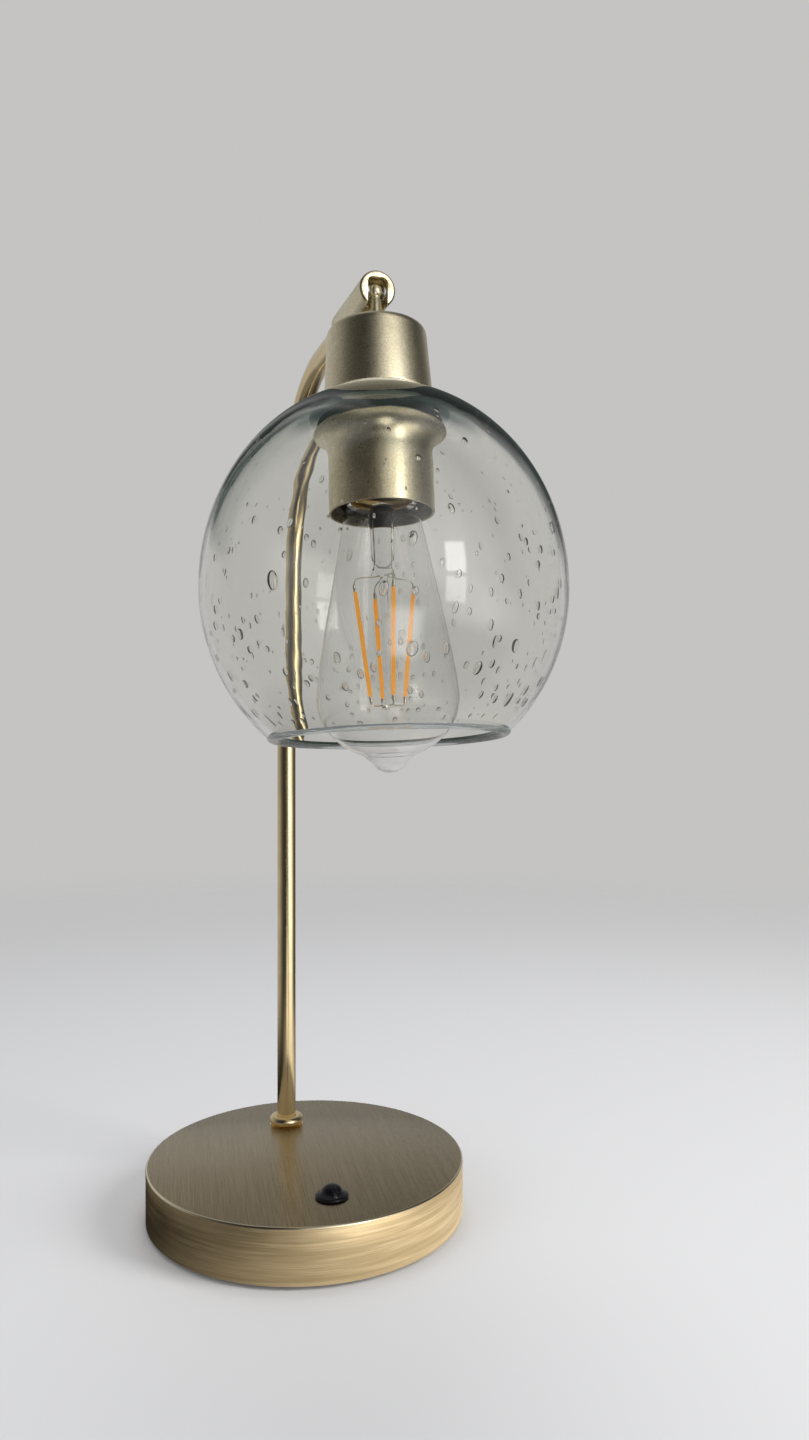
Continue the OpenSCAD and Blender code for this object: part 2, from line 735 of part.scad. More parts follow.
module swivel_stud() {
    ball_r = ball_d/2;
    groove_angle = acos(groove_d/ball_d);
    groove_at = ball_r*sin(groove_angle);
    color(steel) head() difference() {
        turned(concat(
            oval(0, 0, ball_r, ball_r, -90, groove_angle, 16),
            [[groove_d/2, groove_at + 0.2], [groove_d/2, groove_at + 0.9],
             [neck_d/2 - 0.3, groove_at + 1.2], [neck_d/2, groove_at + 1.6],
             [neck_d/2, cap_top - stud_flange_t],
             [stud_flange_d/2 - 0.4, cap_top - stud_flange_t],
             [stud_flange_d/2, cap_top - stud_flange_t + 0.4],
             [stud_flange_d/2, cap_top], [stud_thread_d/2, cap_top],
             [stud_thread_d/2, stud_end], [0, stud_end]]));
        bar_x(pin_d + slip, -ball_d, ball_d);
        for (x = [-1, 1]) translate([x*(ball_flat + ball_d)/2, 0, 0]) cube(ball_d, center = true);
        bar_z(stud_bore, -stud_end - over, -stud_exit + 1);
        translate([0, 0, -stud_exit]) bar_y(stud_bore - 0.4, 0, neck_d);
    }
}

module stud_nut() {
    color(steel) head() translate([0, 0, -bracket_top - bracket_t - stud_nut_t])
        hex_nut(stud_nut_af, stud_thread_d + thread_gap, stud_nut_t);
}

module holder_bracket() {
    leg_out = bracket_leg_at + bracket_t/2;
    foot_in = holder_screw_at - 2.6;
    color(steel) head() difference() {
        union() {
            translate([-bracket_w/2, -leg_out, -bracket_top - bracket_t])
                cube([bracket_w, 2*leg_out, bracket_t]);
            for (y = [-1, 1]) {
                translate([-bracket_w/2, y*bracket_leg_at - bracket_t/2, -holder_top])
                    cube([bracket_w, bracket_t, holder_top - bracket_top]);
                translate([-bracket_w/2, y > 0 ? foot_in : -leg_out, -holder_top])
                    cube([bracket_w, leg_out - foot_in, bracket_t]);
            }
        }
        bar_z(stud_thread_d + seat, -holder_top, -bracket_top + over);
        for (y = [-1, 1]) translate([0, y*holder_screw_at, 0])
            bar_z(cap_screw_d + seat, -holder_top - over, -holder_top + bracket_t + over);
    }
}

module socket_cap() {
    r_top = cap_d_top/2;
    r_low = cap_d_low/2;
    inner_round = max(cap_round - cap_wall, 0.5);
    color(gold) head() turned(concat(
        [[(stud_thread_d + seat)/2, cap_top]],
        oval(r_top - cap_round, cap_top + cap_round, cap_round, -cap_round, 90, 4, 8),
        [[r_low, cap_bottom], [r_low - cap_wall, cap_bottom]],
        oval(r_top - cap_wall - inner_round, bracket_top + inner_round, inner_round, -inner_round, 4, 90, 6),
        [[(stud_thread_d + seat)/2, bracket_top]]));
}

module cap_gasket() {
    color(black) head() turned([
        [hole_r + seat, cap_bottom], [land_r - seat, cap_bottom],
        [land_r - seat, cap_bottom + cap_gasket_t - 0.1], [land_r - 0.5, land_top],
        [hole_r + seat, land_top]]);
}

// Head: glass and its clamp

module glass_shade() {
    out_from = asin(land_r/outer_r);
    out_to = acos(-(shade_rim - shade_mid)/shade_low);
    in_from = asin(under_land_r/inner_r);
    in_to = acos(-(shade_rim - shade_mid)/inner_low);
    outside = [for (i = [0:profile_steps]) let (a = out_from + (out_to - out_from)*i/profile_steps)
        [outer_r*sin(a), shade_mid - (a < 90 ? shade_up : shade_low)*cos(a)]];
    inside = [for (i = [profile_steps:-1:0]) let (a = in_from + (in_to - in_from)*i/profile_steps)
        [inner_r*sin(a), shade_mid - (a < 90 ? inner_up : inner_low)*cos(a)]];
    rim_r = (rim_out_r - rim_in_r)/2;
    color(clear) head() turned(concat(
        [[hole_r, land_top]],
        outside,
        oval((rim_out_r + rim_in_r)/2, shade_rim, rim_r, rim_r*0.8, 25, 155, 6),
        inside,
        [[hole_r, land_under]]));
}

module shade_gasket() {
    lip = 0.2;
    glass_at = function(r) shade_mid - inner_up*sqrt(1 - pow(r/inner_r, 2)) + press_gap;
    middle_r = (under_land_r + under_ring_r)/2;
    color(black) head() turned([
        [gasket_in_r, land_under + press_gap], [under_land_r, land_under + press_gap],
        [middle_r, glass_at(middle_r)], [under_ring_r, glass_at(under_ring_r)],
        [under_ring_r, flare_top + lip], [flare_r + press_gap, flare_top + lip],
        [flare_r + press_gap, flare_top], [gasket_in_r, flare_top]]);
}

module retaining_cup() {
    // The flare is a quarter oval whose centre lies just outside the rim
    centre_r = flare_r + 1.2;
    across = centre_r - cup_r;
    down = flare_end - flare_top - 0.6;
    edge = 0.3;
    color(gold) head() turned(concat(
        [[flare_r - cap_wall, flare_top], [flare_r, flare_top]],
        oval(centre_r, flare_end, across, -down, 99, 180, 10),
        [[cup_r, cup_mouth - edge], [cup_r - edge, cup_mouth], [cup_in_r, cup_mouth]],
        oval(centre_r, flare_end, across + cap_wall, -(down + cap_wall), 180, 107, 10)));
}

// Head: lampholder

module lampholder_body() {
    color("#26221f") head() difference() {
        union() {
            bar_z(holder_neck_d, -holder_shoulder, -holder_top);
            bar_z(2*holder_r, -holder_mouth, -holder_shoulder);
        }
        bar_z(holder_bore, -holder_mouth - over, -holder_floor);
        bar_z(holder_lip_bore, -holder_mouth - over, -holder_lip_at);
        for (x = [-1, 1]) translate([x*terminal_at, 0, 0])
            bar_z(cap_screw_d + thread_gap, -holder_top - 6, -holder_top + over);
        for (y = [-1, 1]) translate([0, y*holder_screw_at, 0])
            bar_z(cap_screw_d + thread_gap, -holder_top - 8, -holder_top + over);
    }
}

module holder_screws() {
    seat_z = -holder_top + bracket_t;
    color(steel) head() for (y = [-1, 1]) translate([0, y*holder_screw_at, 0]) difference() {
        union() {
            bar_z(cap_screw_d, -holder_top - 7, seat_z + 0.1);
            translate([0, 0, seat_z]) cylinder(d1 = 5.2, d2 = 4.2, h = screw_head_t, $fn = 48);
        }
        translate([0, 0, seat_z + screw_head_t]) cube([6, drive_w, 1.4], center = true);
    }
}

module terminal_screws() {
    seat_z = -holder_top + wire_d + 2*press_gap;
    color(brass) head() for (x = [-1, 1]) translate([x*terminal_at, 0, 0]) difference() {
        union() {
            bar_z(cap_screw_d, -holder_top - 5.5, seat_z + 0.1);
            translate([0, 0, seat_z]) cylinder(d1 = 6, d2 = 5.2, h = screw_head_t, $fn = 48);
        }
        translate([0, 0, seat_z + screw_head_t]) cube([drive_w, 7, 1.4], center = true);
    }
}

module holder_contact() {
    strip_t = 0.5;
    dimple_h = bulb_contact_at - holder_floor - strip_t;
    color(brass) head() {
        translate([-6, -2.5, -holder_floor - strip_t]) cube([12, 5, strip_t]);
        translate([0, 0, -bulb_contact_at + press_gap]) cylinder(d1 = 3, d2 = 5, h = dimple_h, $fn = 32);
    }
}

module holder_shell() {
    color(brass) head() turned([
        [shell_out_r - shell_t, shell_top], [shell_out_r, shell_top],
        [shell_out_r, shell_end], [shell_out_r - shell_t, shell_end]]);
}

// A quarter bend in the plane X-Z: from straight down at the origin, round to +X
module elbow(d, r) {
    translate([r, 0, 0]) rotate([-90, 0, 180]) rotate_extrude(angle = 90, $fn = 64)
        translate([r, 0]) circle(d = d, $fn = 32);
}

module head_leads() {
    side = wire_d/2 + press_gap;
    turn = 1.5;
    lug_z = -holder_top + wire_d/2 + press_gap;
    color("#e8e4da") head() for (x = [-1, 1]) {
        // Down the stud's bore
        translate([x*side, 0, 0]) bar_z(wire_d, lug_z + 2*turn, -stud_exit - turn);
        // Out at the back of the neck
        translate([x*side, 0, -stud_exit - turn]) rotate([0, 0, 90]) mirror([0, 0, 1]) elbow(wire_d, turn);
        translate([x*side, 0, -stud_exit]) bar_y(wire_d, turn, neck_d/2 + 1.2);
        // Across to the terminal
        translate([x*side, 0, lug_z + 2*turn]) rotate([0, 0, x > 0 ? 0 : 180]) elbow(wire_d, 2*turn);
        translate([0, 0, lug_z]) mirror([x < 0 ? 1 : 0, 0, 0])
            bar_x(wire_d, side + 2*turn, terminal_at - cap_screw_d/2 - seat);
    }
}

// Head: bulb

module bulb_shell() {
    r = bulb_shell_r;
    color(brass) head() turned([
        [6, bulb_shell_top - 1], [r - 3.4, bulb_shell_top - 0.6], [r, bulb_shell_top + 2.2],
        [r, bulb_shell_end], [r - bulb_shell_t, bulb_shell_end],
        [r - bulb_shell_t, bulb_shell_top + 2.4],
        [r - 3.6, bulb_shell_top - 0.2], [6, bulb_shell_top - 0.6]]);
}

module bulb_insulator() {
    color(black) head() turned([
        [0, bulb_contact_at + 1.2], [4.6, bulb_contact_at + 1.2],
        [9, bulb_shell_top - 1.2], [0, bulb_shell_top - 1.2]]);
}

module bulb_contact() {
    color(steel) head() turned(concat(
        oval(0, bulb_contact_at + 1.15, 4.2, -1.15, 90, 0, 6), [[0, bulb_contact_at + 1.15]]));
}

module bulb_glass() {
    w = bulb_wall;
    stub_r = bulb_shell_r - bulb_shell_t - slip;
    neck_r = bulb_neck_d/2;
    // Outline of the glass, drawn in by d for its inner face
    flank = function(d) curve([neck_r - d, bulb_neck_at], [neck_r - d + 5.4, bulb_neck_at + bulb_flank_l],
        [bulb_r - 0.9 - d, bulb_wide_at - 14], [bulb_r - d, bulb_wide_at], 14);
    dome_to = acos(nipple_r/bulb_r);
    dome = function(d) oval(0, bulb_wide_at, bulb_r - d, bulb_dome - d, 8, dome_to, 8);
    nip = function(d) oval(0, nipple_at + 0.5, nipple_r - d, bulb_tip - nipple_at - 0.5 - d, 10, 90, 7);
    color(clear) head() turned(concat(
        [[stub_r - w, bulb_shell_end - 5], [stub_r, bulb_shell_end - 5], [stub_r, bulb_shell_end + 0.2]],
        flank(0), dome(0), nip(0),
        [for (i = [7:-1:0]) nip(w)[i]], [for (i = [8:-1:0]) dome(w)[i]], [for (i = [14:-1:0]) flank(w)[i]]));
}

module bulb_mount() {
    color(clear) head() turned([
        [0, mount_top - 1.4], [mount_neck_r, mount_top - 1.4], [mount_neck_r, mount_top],
        [7.6, mount_top + 4], [6, mount_top + 10], [5.6, mount_pinch - 6], [3.4, mount_pinch],
        [rod_r, mount_pinch + 2.5], [rod_r, rod_end - 1.2],
        [2.3, rod_end - 0.8], [2.3, rod_end + 0.4], [0, rod_end + 1.4]]);
}

filament_angles = [0, 90, 180, 270];
module filament_supports() {
    turn = 1.2;
    color(steel) head() for (a = filament_angles) rotate([0, 0, a]) {
        // Upper hanger: out from the rod, then down to the stick
        translate([0, 0, -support_top]) bar_x(support_d, rod_r, filament_top_r - turn);
        translate([filament_top_r, 0, -support_top - turn])
            mirror([0, 0, 1]) mirror([1, 0, 0]) elbow(support_d, turn);
        translate([filament_top_r, 0, 0]) bar_z(support_d, -filament_top + near, -support_top - turn);
        // Lower hanger: out from the rod, then up to the stick
        translate([0, 0, -support_low]) bar_x(support_d, rod_r, filament_low_r - turn);
        translate([filament_low_r, 0, -support_low + turn]) mirror([1, 0, 0]) elbow(support_d, turn);
        translate([filament_low_r, 0, 0]) bar_z(support_d, -support_low + turn, -filament_low - near);
    }
}

module led_filaments() {
    color("#e8862a") head() for (a = filament_angles) rotate([0, 0, a])
        stick([filament_top_r, 0, -filament_top], [filament_low_r, 0, -filament_low], filament_d);
}

base_cover();
base_weight();
bottom_plate();
foot_pad();
plate_screws();
stem_collar();
stem_nipple();
stem_lock_washer();
stem_nut();
arm_tube();
arm_lead();
arm_sleeve();
sleeve_set_screw();
pivot_pin();
pivot_washers();
switch_body();
switch_terminals();
switch_nut();
cord_bushing();
splice_caps();
base_wires();
switch_knob();
switch_shaft();
swivel_stud();
stud_nut();
holder_bracket();
socket_cap();
cap_gasket();
glass_shade();
shade_gasket();
retaining_cup();
lampholder_body();
holder_screws();
terminal_screws();
holder_contact();
holder_shell();
head_leads();
bulb_shell();
bulb_insulator();
bulb_contact();
bulb_glass();
bulb_mount();
filament_supports();
led_filaments();
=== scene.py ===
"""The looks of a gold desk lamp with a bubbled glass shade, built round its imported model."""
import json
import math
import random

import bmesh
import bpy
import numpy as np
from mathutils import Matrix, Vector, noise


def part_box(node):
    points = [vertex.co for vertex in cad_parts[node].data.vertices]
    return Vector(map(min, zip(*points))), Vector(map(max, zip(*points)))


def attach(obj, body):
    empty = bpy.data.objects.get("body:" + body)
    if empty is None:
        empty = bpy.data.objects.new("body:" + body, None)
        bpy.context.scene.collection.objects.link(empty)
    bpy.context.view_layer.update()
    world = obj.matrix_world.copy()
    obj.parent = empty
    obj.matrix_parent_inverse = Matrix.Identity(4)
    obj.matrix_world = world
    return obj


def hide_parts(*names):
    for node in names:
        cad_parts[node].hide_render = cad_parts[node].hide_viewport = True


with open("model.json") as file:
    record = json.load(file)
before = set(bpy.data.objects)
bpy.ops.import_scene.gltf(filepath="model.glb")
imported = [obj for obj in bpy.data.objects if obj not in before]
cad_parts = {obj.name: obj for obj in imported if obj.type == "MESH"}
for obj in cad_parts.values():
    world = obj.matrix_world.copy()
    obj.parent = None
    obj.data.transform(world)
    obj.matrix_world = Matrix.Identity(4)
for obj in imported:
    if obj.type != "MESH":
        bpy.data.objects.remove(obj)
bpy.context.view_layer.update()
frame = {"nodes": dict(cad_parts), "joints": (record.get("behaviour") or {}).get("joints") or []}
MM = 0.001
# Points nearer than this count as one
SAME_POINT = 1e-7

# Places: the base stands on Z, and the head is drawn round its own tilted axis
HEAD_TILT = math.radians(6)
PIVOT = Vector(next(j["pos_m"] for j in frame["joints"] if j["name"] == "head_tilt"))
HEAD = Matrix.Translation(PIVOT) @ Matrix.Rotation(-HEAD_TILT, 4, "X")
UPRIGHT = Matrix.Identity(4)


def points_of(node, place=UPRIGHT):
    """The node's vertices in a place's own coordinates."""
    back = place.inverted()
    return np.array([back @ v.co for v in frame["nodes"][node].data.vertices])


def measure(node, place=UPRIGHT):
    """A turned node's largest radius, and its lowest and highest z, about a place's Z axis."""
    p = points_of(node, place)
    return float(np.hypot(p[:, 0], p[:, 1]).max()), float(p[:, 2].min()), float(p[:, 2].max())


# Outlines

def arc(centre, radii, start, end, steps):
    """Points of an oval arc, in degrees from +X."""
    angles = np.radians(np.linspace(start, end, steps + 1))
    return [(centre[0] + radii[0]*math.cos(a), centre[1] + radii[1]*math.sin(a)) for a in angles]


def bezier(p0, p1, p2, p3, steps):
    """Points of a cubic curve through two ends with two handles."""
    made = []
    for t in np.linspace(0, 1, steps + 1):
        u = 1 - t
        weights = (u**3, 3*u*u*t, 3*u*t*t, t**3)
        made.append(tuple(sum(w*p[i] for w, p in zip(weights, (p0, p1, p2, p3))) for i in (0, 1)))
    return made


def eased(outline, ease, closed=False, corner=20):
    """The outline with each corner sharper than corner degrees rounded off."""
    steps = 4
    most_of_side = 0.45
    made = []
    count = len(outline)
    for i, point in enumerate(outline):
        at_end = i in (0, count - 1) and not closed
        before = Vector(outline[i - 1]) - Vector(point)
        after = Vector(outline[(i + 1) % count]) - Vector(point)
        if at_end or min(before.length, after.length) < SAME_POINT:
            made.append(point)
            continue
        turn = 180 - math.degrees(before.angle(after))
        if turn < corner:
            made.append(point)
            continue
        reach = min(ease, before.length*most_of_side, after.length*most_of_side)
        a = Vector(point) + before.normalized()*reach
        b = Vector(point) + after.normalized()*reach
        for t in np.linspace(0, 1, steps + 1):
            made.append(tuple(a*(1 - t)**2 + Vector(point)*2*t*(1 - t) + b*t*t))
    return made


# Pieces

def new_object(name, data):
    made = bpy.data.objects.new(name, data)
    bpy.context.scene.collection.objects.link(made)
    return made


def piece(name, mesh, looks, body, stands_for=(), place=None, sharp=35):
    """A finished object with looks out of MAT, smooth up to a sharp angle and riding on its body.

    A piece of the head is drawn in the head's own place, unless another place is given.
    """
    if place is None:
        place = HEAD if body == "head" else UPRIGHT
    mesh.transform(place)
    mesh.validate()
    mesh.shade_smooth()
    mesh.set_sharp_from_angle(angle=math.radians(sharp))
    for look in looks:
        mesh.materials.append(MAT[look])
    made = new_object(name, mesh)
    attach(made, body)
    if stands_for:
        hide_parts(*stands_for)
    return made


def turned_piece(name, outline, looks, body, stands_for, place=None, closed=True, around=160):
    """A piece turned about its place's Z axis."""
    mesh = turned_mesh(name, outline, closed, around)
    return piece(name, mesh, looks, body, stands_for, place)


def new_mesh(name, verts, faces):
    mesh = bpy.data.meshes.new(name)
    mesh.from_pydata(verts, [], faces)
    return mesh


def ring_faces(rings, around, closed=False, capped=False):
    """Faces between rings of points; closed joins the last ring to the first, capped fills both."""
    faces = []
    for i in range(rings if closed else rings - 1):
        k = (i + 1) % rings
        for j in range(around):
            m = (j + 1) % around
            faces.append((i*around + j, i*around + m, k*around + m, k*around + j))
    if capped:
        faces.append(tuple(range(around - 1, -1, -1)))
        faces.append(tuple((rings - 1)*around + j for j in range(around)))
    return faces


def turned_mesh(name, outline, closed=False, around=160):
    """A mesh turned about Z from points (radius, z)."""
    radii = np.array([p[0] for p in outline])
    heights = np.array([p[1] for p in outline])
    angles = np.arange(around)*2*math.pi/around
    x = np.outer(radii, np.cos(angles))
    y = np.outer(radii, np.sin(angles))
    z = np.repeat(heights[:, None], around, 1)
    verts = np.stack([x, y, z], -1).reshape(-1, 3)
    return welded(new_mesh(name, verts.tolist(), ring_faces(len(outline), around, closed)))


def welded(mesh):
    """The mesh with doubled points merged and its faces turned outwards."""
    work = bmesh.new()
    work.from_mesh(mesh)
    bmesh.ops.remove_doubles(work, verts=work.verts, dist=SAME_POINT)
    bmesh.ops.dissolve_degenerate(work, edges=work.edges, dist=SAME_POINT)
    bmesh.ops.recalc_face_normals(work, faces=work.faces)
    work.to_mesh(mesh)
    work.free()
    return mesh


def swept_mesh(name, path, radius, around=32):
    """A round tube's skin along a path of points; radius may be a list, one for each point."""
    path = [Vector(p) for p in path]
    last = len(path) - 1
    radii = radius if hasattr(radius, "__len__") else [radius]*(last + 1)
    ahead = [(path[min(i + 1, last)] - path[max(i - 1, 0)]).normalized() for i in range(last + 1)]
    side = ahead[0].orthogonal().normalized()
    verts = []
    for point, direction, r in zip(path, ahead, radii):
        side = (side - direction*side.dot(direction)).normalized()
        up = direction.cross(side)
        for j in range(around):
            a = 2*math.pi*j/around
            verts.append(point + side*(r*math.cos(a)) + up*(r*math.sin(a)))
    return new_mesh(name, [tuple(v) for v in verts], ring_faces(last + 1, around, capped=True))


def joined(name, meshes):
    """Several meshes as one."""
    verts = []
    faces = []
    for mesh in meshes:
        start = len(verts)
        verts += [tuple(v.co) for v in mesh.vertices]
        faces += [tuple(start + k for k in p.vertices) for p in mesh.polygons]
        bpy.data.meshes.remove(mesh)
    return new_mesh(name, verts, faces)


# Materials

class Nodes:
    """A node tree, with short calls to add and join nodes."""

    def __init__(self, tree):
        self.tree = tree

    def add(self, kind, inputs=None, **settings):
        made = self.tree.nodes.new("ShaderNode" + kind)
        for key, value in settings.items():
            setattr(made, key, value)
        for key, value in (inputs or {}).items():
            if isinstance(value, bpy.types.NodeSocket):
                self.tree.links.new(value, made.inputs[key])
            else:
                made.inputs[key].default_value = value
        return made

    def math(self, operation, *values):
        return self.add("Math", dict(enumerate(values)), operation=operation).outputs[0]

    def smooth(self, value, start, end, last=1.0):
        """A share that goes from 0 at start to last at end."""
        inputs = {"Value": value, "From Min": start, "From Max": end, "To Max": last}
        return self.add("MapRange", inputs, interpolation_type="SMOOTHSTEP").outputs["Result"]

    def mixed(self, share, first, second):
        """Two shaders mixed, by the share of the second."""
        return self.add("MixShader", {0: share, 1: first, 2: second}).outputs["Shader"]

    def shining(self, kind, tint, strength=1.0):
        """An Emission or a Background of one tint."""
        return self.add(kind, {"Color": colour(*tint), "Strength": strength}).outputs[kind]

    def reflected_once(self):
        """One where the ray has met one gloss face; light caught in glass or a gap comes from all round."""
        return self.math("COMPARE", self.add("LightPath").outputs["Glossy Depth"], 1.0, 0.5)

    def finish(self, output, shader):
        self.tree.links.new(shader, self.tree.nodes[output].inputs["Surface"])


class Paint(Nodes):
    """A material's nodes round its main shader."""

    def __init__(self, name, **values):
        self.material = bpy.data.materials.new(name)
        self.material.use_nodes = True
        super().__init__(self.material.node_tree)
        self.shader = self.tree.nodes["Principled BSDF"]
        for socket, value in values.items():
            self.shader.inputs[socket.replace("_", " ")].default_value = value

    def place(self):
        return self.add("TexCoord").outputs["Object"]

    def turned(self, degrees):
        """Object coordinates turned about Z."""
        inputs = {"Vector": self.place(), "Angle": math.radians(degrees)}
        return self.add("VectorRotate", inputs, rotation_type="Z_AXIS").outputs["Vector"]

    def stretched(self, scale, vector=None):
        """Object coordinates scaled along each axis."""
        return self.add("Mapping", {"Vector": vector or self.place(), "Scale": scale}).outputs["Vector"]

    def noise(self, vector=None, scale=1.0, detail=3.0, rough=0.5):
        inputs = {"Vector": vector or self.place(), "Scale": scale, "Detail": detail, "Roughness": rough}
        return self.add("TexNoise", inputs).outputs["Fac"]

    def span(self, value, low, high, to_low=0.0, to_high=1.0):
        """The value's place between low and high, as a number from to_low to to_high."""
        inputs = {"Value": value, "From Min": low, "From Max": high, "To Min": to_low, "To Max": to_high}
        return self.add("MapRange", inputs).outputs["Result"]

    def blend(self, share, a, b):
        """A colour between two, triples or sockets; 6, 7 and 2 are the node's own colour sockets."""
        a, b = (colour(*c) if isinstance(c, tuple) else c for c in (a, b))
        return self.add("Mix", {0: share, 6: a, 7: b}, data_type="RGBA").outputs[2]

    def set(self, socket, value):
        self.tree.links.new(value, self.shader.inputs[socket])

    def tint(self, share, a, b):
        """The base colour, between two."""
        self.set("Base Color", self.blend(share, a, b))

    def roughness(self, pattern, low, high):
        """Roughness from low to high over the middle of a pattern."""
        self.set("Roughness", self.span(pattern, 0.3, 0.7, low, high))

    def bump(self, height, strength, distance):
        """Raises the surface by height, over any bump that is already there."""
        inputs = {"Height": height, "Strength": strength, "Distance": distance}
        if self.shader.inputs["Normal"].is_linked:
            inputs["Normal"] = self.shader.inputs["Normal"].links[0].from_socket
        self.set("Normal", self.add("Bump", inputs).outputs["Normal"])


def colour(red, green, blue):
    return (red, green, blue, 1)


GOLD_POLISHED = (0.84, 0.68, 0.40)
# How far the lid's brush lines turn from straight back, in degrees
BRUSH_TURN = 7


def shaded_brushed_lid():
    """Gold sheet brushed in straight fine lines from back to front, its gold darker than the skirt's as
    painted shade.
    """
    p = Paint("brushed_gold_top_shaded", Metallic=1.0, Anisotropic=0.35)
    along = p.turned(BRUSH_TURN)
    hair = p.noise(p.stretched((3600, 60, 1), along), detail=3, rough=0.6)
    lines = p.noise(p.stretched((1300, 16, 1), along), detail=4, rough=0.6)
    clouds = p.noise(scale=30)
    both = p.math("ADD", p.math("MULTIPLY", hair, 0.45), p.math("MULTIPLY", lines, 0.55))
    # Painted shade: the top's gold is much darker than the same sheet's on the skirt
    tone = p.blend(p.span(both, 0.38, 0.62), (0.31, 0.255, 0.165), (0.48, 0.405, 0.275))
    p.tint(p.span(clouds, 0.35, 0.65, 0.0, 0.3), tone, (0.33, 0.275, 0.18))
    p.set("Roughness", p.span(both, 0.35, 0.65, 0.24, 0.33))
    p.bump(both, 0.3, 0.00005)
    a = math.radians(BRUSH_TURN)
    way = p.add("CombineXYZ", {"X": math.sin(a), "Y": math.cos(a), "Z": 0.0})
    p.set("Tangent", way.outputs["Vector"])
    return p.material


def brushed_side():
    """Gold sheet brushed round the skirt."""
    p = Paint("brushed_gold_side", Metallic=1.0, Anisotropic=0.7)
    split = p.add("SeparateXYZ", {"Vector": p.place()})
    angle = p.math("ARCTAN2", split.outputs["Y"], split.outputs["X"])
    flat = p.add("CombineXYZ", {"X": angle, "Y": split.outputs["Z"]}).outputs["Vector"]
    lines = p.noise(p.stretched((2.6, 2300, 1), flat), detail=5, rough=0.6)
    bands = p.noise(p.stretched((1.4, 420, 1), flat))
    clouds = p.noise(p.stretched((3.5, 60, 1), flat))
    tone = p.blend(p.span(lines, 0.34, 0.66), (0.66, 0.49, 0.26), (0.98, 0.80, 0.51))
    p.tint(p.span(bands, 0.38, 0.62, 0.0, 0.85), tone, (0.60, 0.455, 0.25))
    rough = p.math("ADD", p.span(lines, 0.3, 0.7, 0.0, 0.14), p.span(clouds, 0.3, 0.7, 0.26, 0.40))
    p.set("Roughness", rough)
    p.bump(lines, 0.45, 0.00008)
    p.set("Tangent", p.add("Tangent", direction_type="RADIAL", axis="Z").outputs["Tangent"])
    return p.material


def polished(name, tint=GOLD_POLISHED, rough=(0.12, 0.2)):
    """Polished gold with faint marks that run round an upright axis."""
    p = Paint(name, Metallic=1.0)
    rings = p.noise(p.stretched((14, 14, 900)))
    smudge = p.noise(scale=55)
    darker = tuple(0.86*c for c in tint)
    p.tint(p.span(smudge, 0.35, 0.7), tint, darker)
    handled = p.span(smudge, 0.3, 0.7, *rough)
    p.set("Roughness", p.math("ADD", handled, p.span(rings, 0.3, 0.7, 0, 0.02)))
    p.bump(rings, 0.06, 0.00002)
    return p.material


def satin_gold():
    """Satin gold plating with a fine speckle."""
    p = Paint("satin_gold", Metallic=1.0)
    grain = p.noise(scale=1900, detail=2)
    mottle = p.noise(scale=260, detail=5, rough=0.7)
    tone = p.blend(p.span(grain, 0.35, 0.65), (0.66, 0.585, 0.40), (0.95, 0.87, 0.65))
    p.tint(p.span(mottle, 0.4, 0.68, 0, 0.5), tone, (0.70, 0.62, 0.42))
    p.roughness(mottle, 0.25, 0.35)
    p.bump(grain, 0.35, 0.00006)
    p.bump(mottle, 0.15, 0.00006)
    return p.material


def plain_metal(name, low, high, rough=(0.3, 0.45)):
    """Plated or raw metal with soft patches of tone."""
    p = Paint(name, Metallic=1.0)
    patches = p.noise(scale=300, detail=4)
    grain = p.noise(scale=3000, detail=2)
    p.tint(p.span(patches, 0.35, 0.65), low, high)
    p.roughness(patches, *rough)
    p.bump(grain, 0.2, 0.00004)
    return p.material


def cast_iron():
    """Rough grey iron, as it comes from the mould."""
    p = Paint("cast_iron", Metallic=0.8)
    lumps = p.noise(scale=420, detail=5, rough=0.6)
    p.tint(lumps, (0.05, 0.05, 0.055), (0.20, 0.19, 0.19))
    p.roughness(lumps, 0.55, 0.8)
    p.bump(lumps, 0.8, 0.0004)
    return p.material


def gloss_black():
    """Moulded glossy plastic with a soft bloom of handling."""
    p = Paint("gloss_black", Specular_IOR_Level=0.28)
    bloom = p.noise(scale=350, detail=4)
    p.tint(bloom, (0.003, 0.003, 0.004), (0.008, 0.008, 0.010))
    p.roughness(bloom, 0.10, 0.18)
    p.bump(p.noise(scale=900, detail=2), 0.03, 0.00002)
    return p.material


def moulded(name, low, high, rough=(0.4, 0.6), shine=0.5):
    """Moulded plastic with a fine grain."""
    p = Paint(name, Specular_IOR_Level=shine)
    mottle = p.noise(scale=420, detail=5, rough=0.6)
    p.tint(mottle, low, high)
    p.roughness(mottle, *rough)
    p.bump(p.noise(scale=1800), 0.25, 0.0001)
    return p.material


def rubber(name, scale):
    """Matte black rubber or foam with open pores."""
    p = Paint(name, Specular_IOR_Level=0.25)
    pores = p.add("TexVoronoi", {"Vector": p.place(), "Scale": scale}).outputs["Distance"]
    dust = p.noise(scale=160, detail=4)
    p.tint(dust, (0.008, 0.008, 0.009), (0.026, 0.025, 0.025))
    p.roughness(dust, 0.62, 0.85)
    p.bump(pores, 0.5, 0.0002)
    return p.material


# The shade's neck has a darker tint painted on its front as painted shade: where that tint starts and is
# full in z, and in y towards the front
NECK_SHADE_RISE = (0.368, 0.372)
NECK_SHADE_FRONT = (-0.122, -0.136)
# How far that front is turned towards +X, and how uneven the tint's lower edge is
NECK_SHADE_TURN = 0.3
NECK_SHADE_UNEVEN = 0.004
# How much light a face of clear glass mirrors, and a face where the neck's painted shade is full
SHINE = 0.5
NECK_SHADE_SHINE = 0.08


